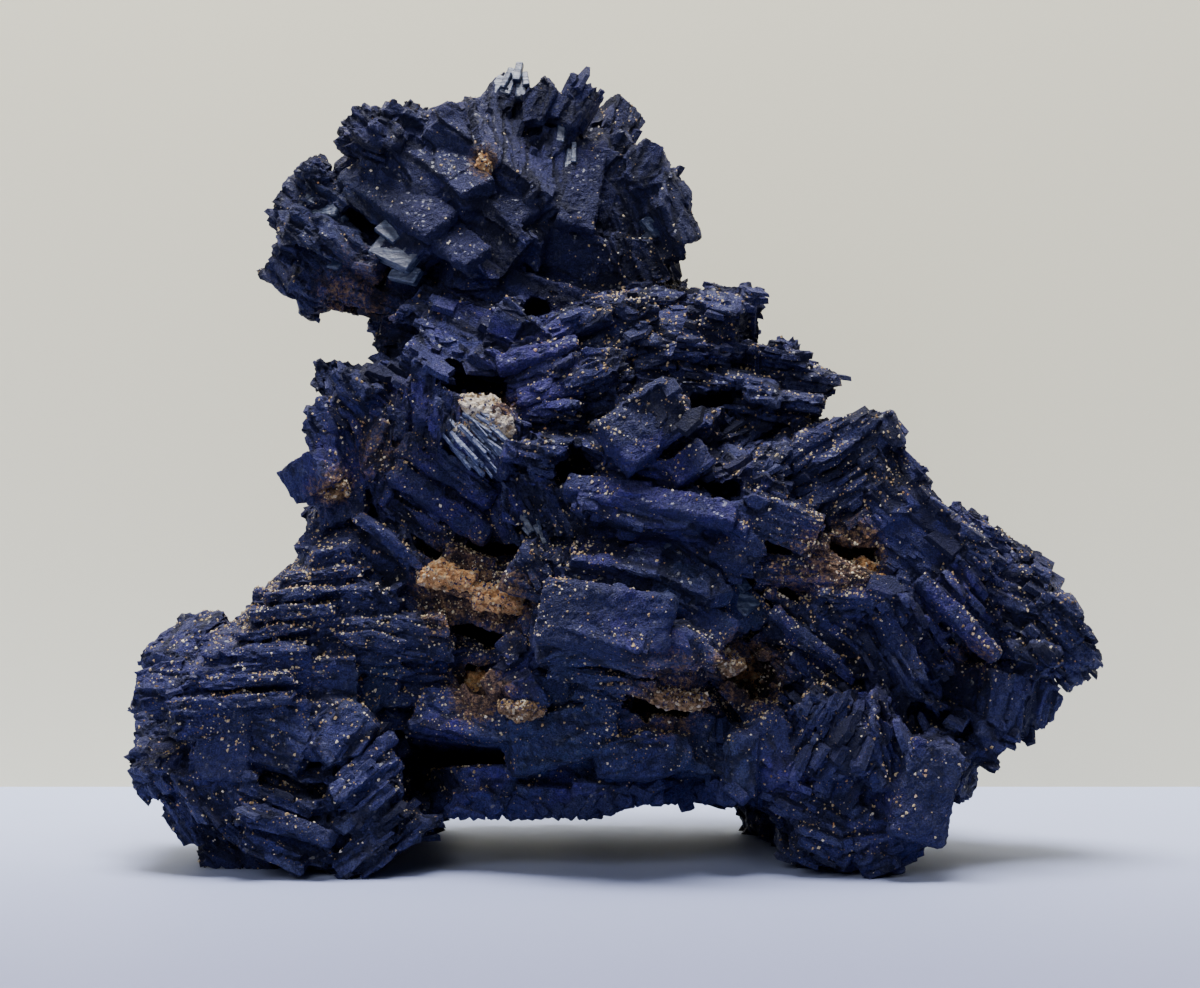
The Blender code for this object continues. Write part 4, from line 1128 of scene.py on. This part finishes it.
def sand_finish():
    """Each grain has its own colour, from dark brown through tan and ochre to cream."""
    material, shader, place = new_finish("sand", 0.8, 0.3)
    tone = sand_colour(place.cells(1.3).part("X"))
    drive(shader, "Base Color", mixed(place.noise(4.0, 2.0).rise(0.3, 0.7) * 0.3, tone, SAND_SHADE))
    bump(shader, place.noise(6.0, 3.0), 0.06)
    return material


def clay_finish(name, low, high):
    """Dry clay, crumbly and grained, with grains of sand and specks of blue in it."""
    material, shader, place = new_finish(name, 0.9, 0.2)
    crumbs = place.cells(2.6)
    rough = place.noise(1.6, 5.0, 0.7)
    grit = place.noise(7.0, 2.0, 0.6)
    tone = mixed(rough.rise(0.36, 0.62), low, high)
    tone = mixed(crumbs.part("X").rise(0.62, 0.8) * 0.6, tone, sand_colour(crumbs.part("Z")))
    tone = mixed((crumbs.part("Y") + grit - 0.5).rise(0.86, 0.95) * 0.9, tone, CLAY_BLUE)
    drive(shader, "Base Color", mixed(grit.rise(0.52, 0.7) * 0.5, tone, CLAY_SHADE))
    bump(shader, rough + crumbs.part("X") * 0.4 + grit * 0.4, 0.40)
    return material


# ---------------------------------------------------------------- stage


STAGE_SIZE = 4.0
WALL_AT = 0.0643
WALL_COLOUR = (0.93, 0.87, 0.62, 1.0)
PAPER_WITH_PAINTED_SHADE = ((0.24, 0.26, 0.43), (0.60, 0.68, 0.97))  # near the eye and far from it, darker near the eye as painted shade
PAPER_SHADE_SPAN = (-100.0, 80.0)  # mm of depth over which it changes
WORLD_COLOUR = (0.74, 0.85, 1.0, 1.0)
WORLD_STRENGTH = 0.06
LIGHTS = (
    # name, place, what it points at, width and height, power in watts, colour
    ("overhead", (-0.03, -0.035, 0.38), (0.0, 0.01, 0.0), (0.26, 0.14), 3.5, (0.965, 0.965, 1.0)),
    ("fill", (-0.20, -0.50, 0.30), (0.0, 0.0, 0.04), (0.30, 0.30), 1.25, (0.92, 0.94, 1.0)),
)
LENS = 90.0
SENSOR = 36.0
CLIP_START = 0.01
CAMERA_DIP = 0.44  # degrees below level


def sheet(name, finish, **placing):
    """One of the two flat sheets of the stage."""
    made = added(bpy.ops.mesh.primitive_plane_add, size=STAGE_SIZE, **placing)
    made.name = name
    made.data.materials.append(finish)
    return made


def stage():
    """Pale blue paper to stand on, darker towards the eye as painted shade, and a plain cream wall behind.
    """
    paper, paper_shader, place = new_finish("floor", 0.6)
    # painted shade: the paper darkens towards the eye
    drive(paper_shader, "Base Color", mixed(place.part("Y").rise(*PAPER_SHADE_SPAN), *PAPER_WITH_PAINTED_SHADE))
    plaster, plaster_shader, _ = new_finish("wall", 0.9)
    plaster_shader.inputs["Base Color"].default_value = WALL_COLOUR
    floor = sheet("floor", paper)
    wall = sheet("backdrop", plaster, location=(0.0, WALL_AT, 0.0), rotation=(math.radians(90), 0.0, 0.0))


def area(name, where, aim, size, power, tint):
    """A flat lamp, pointed at a place."""
    light = bpy.data.lights.new(name, "AREA")
    light.shape = "RECTANGLE"
    light.size, light.size_y = size
    light.energy = power
    light.color = tint
    obj = bpy.data.objects.new(name, light)
    bpy.context.scene.collection.objects.link(obj)
    obj.location = where
    obj.rotation_euler = (Vector(aim) - Vector(where)).to_track_quat("-Z", "Y").to_euler()


def light_and_camera():
    world = bpy.data.worlds.new("studio")
    bpy.context.scene.world = world
    world.use_nodes = True
    background = world.node_tree.nodes["Background"]
    background.inputs["Color"].default_value = WORLD_COLOUR
    background.inputs["Strength"].default_value = WORLD_STRENGTH
    for row in LIGHTS:
        area(*row)
    camera_data = bpy.data.cameras.new("camera")
    camera_data.lens = LENS
    camera_data.sensor_width = SENSOR
    camera_data.clip_start = CLIP_START
    camera = bpy.data.objects.new("camera", camera_data)
    bpy.context.scene.collection.objects.link(camera)
    camera.location = (EYE - MIDDLE) * MM
    camera.rotation_euler = (math.radians(90.0 - CAMERA_DIP), 0.0, 0.0)
    bpy.context.scene.camera = camera


# ---------------------------------------------------------------- the specimen

CRUSTS = (
    # name, low and high corners of its box, grid, triangles, blades for each square millimetre
    ("head", (-60.0, -60.0, 55.6), (60.0, 60.0, 90.0), 0.22, 100000, 0.02),
    ("left", (-60.0, -60.0, -5.0), (-16.6, 8.4, 56.0), 0.21, 115000, 0.09),
    ("middle", (-17.0, -60.0, -5.0), (14.4, 8.4, 56.0), 0.20, 125000, 0.08),
    ("right", (14.0, -60.0, -5.0), (60.0, 8.4, 56.0), 0.21, 115000, 0.11),
    ("back", (-60.0, 8.0, -5.0), (60.0, 60.0, 56.0), 0.36, 60000, 0.08),
)
# seeds of what is scattered: each crust has ten of its own, and each lump of clay one
CRUST_SEEDS = 10
SAND_SEED = 6
CLAY_SAND_SEED = 60
CHIPS_SEED = 70
SLAB_SAND_SEED = 80
# finishes: name, dark and light tone, and roughness where they differ in it
# the light tones of the clean crystals and the sheaf are partly painted reflection
CLEAN = ("glassy_azurite", (0.010, 0.018, 0.06), (0.11, 0.14, 0.21), 0.30)
PALE = ("pale_azurite", (0.03, 0.045, 0.13), (0.26, 0.30, 0.42), 0.45)
CLAY_TONES = {
    "cream": ("cream_clay", (0.42, 0.33, 0.25), (0.80, 0.72, 0.60)),
    "pale": ("pale_grit", (0.05, 0.07, 0.16), (0.30, 0.33, 0.42)),
    "orange": ("orange_clay", (0.30, 0.13, 0.05), (0.74, 0.42, 0.18)),
    "brown": ("brown_clay", (0.06, 0.035, 0.022), (0.30, 0.18, 0.09)),
}


def dress(piece, finish):
    """Gives a piece its finish and hands it over as part of the specimen."""
    piece.data.materials.clear()
    piece.data.materials.append(finish)
    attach(piece, "root")
    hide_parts(NODE)


crusts = []
blades = []
sands = []
tablets = blade_kinds()
grains = grain_kinds()
for index, (name, low, high, grid, triangles, density) in enumerate(CRUSTS):
    crust = grow_crust("crust_" + name, low, high, grid, triangles)
    crusts.append(crust)
    seed = CRUST_SEEDS * index
    blades.append(scatter("blades_" + name, crust, blade_nodes(tablets, density, seed)))
    sands.append(scatter("sand_" + name, crust, sand_nodes(grains, SAND_PER_MM2, seed + SAND_SEED)))
met = seen_surface(crusts)
clays = {}
for name, lumps in CLAY.items():
    made = [clay(f"{name}_clay", met(x, z) + SUNK, radii, roll) for x, z, radii, roll in lumps]
    clays[name] = joined(f"{name}_clay", made)
loose_sands = []
chips = []
for index, lump in enumerate(clays.values()):
    strewn = sand_nodes(grains, SAND_PER_MM2, CLAY_SAND_SEED + index)
    loose_sands.append(scatter("sand_on_" + lump.name, lump, strewn))
    chipped = sand_nodes(grains, CHIPS_PER_MM2, CHIPS_SEED + index)
    chips.append(scatter("chips_on_" + lump.name, lump, chipped))
clean = joined("clean_crystals", [piece for row in CLEAN_CRYSTALS for piece in grown(met, *row)])
sheaf = pale_sheaf(met)
hem = keel_hem(met)
slabs = joined("slabs", [slab(*row, met) for row in SLABS])
lay_zones(slabs.data)
loose_sands.append(scatter("sand_on_slabs", slabs, sand_nodes(grains, SAND_PER_MM2, SLAB_SAND_SEED)))

azurite = azurite_finish()
sand = sand_finish()
for piece in crusts + blades + chips + [hem, slabs]:
    dress(piece, azurite)
dress(clean, glassy_finish(*CLEAN))
dress(sheaf, glassy_finish(*PALE))
for piece in sands + loose_sands:
    dress(piece, sand)
for name, tones in CLAY_TONES.items():
    dress(clays[name], clay_finish(*tones))
stage()
light_and_camera()
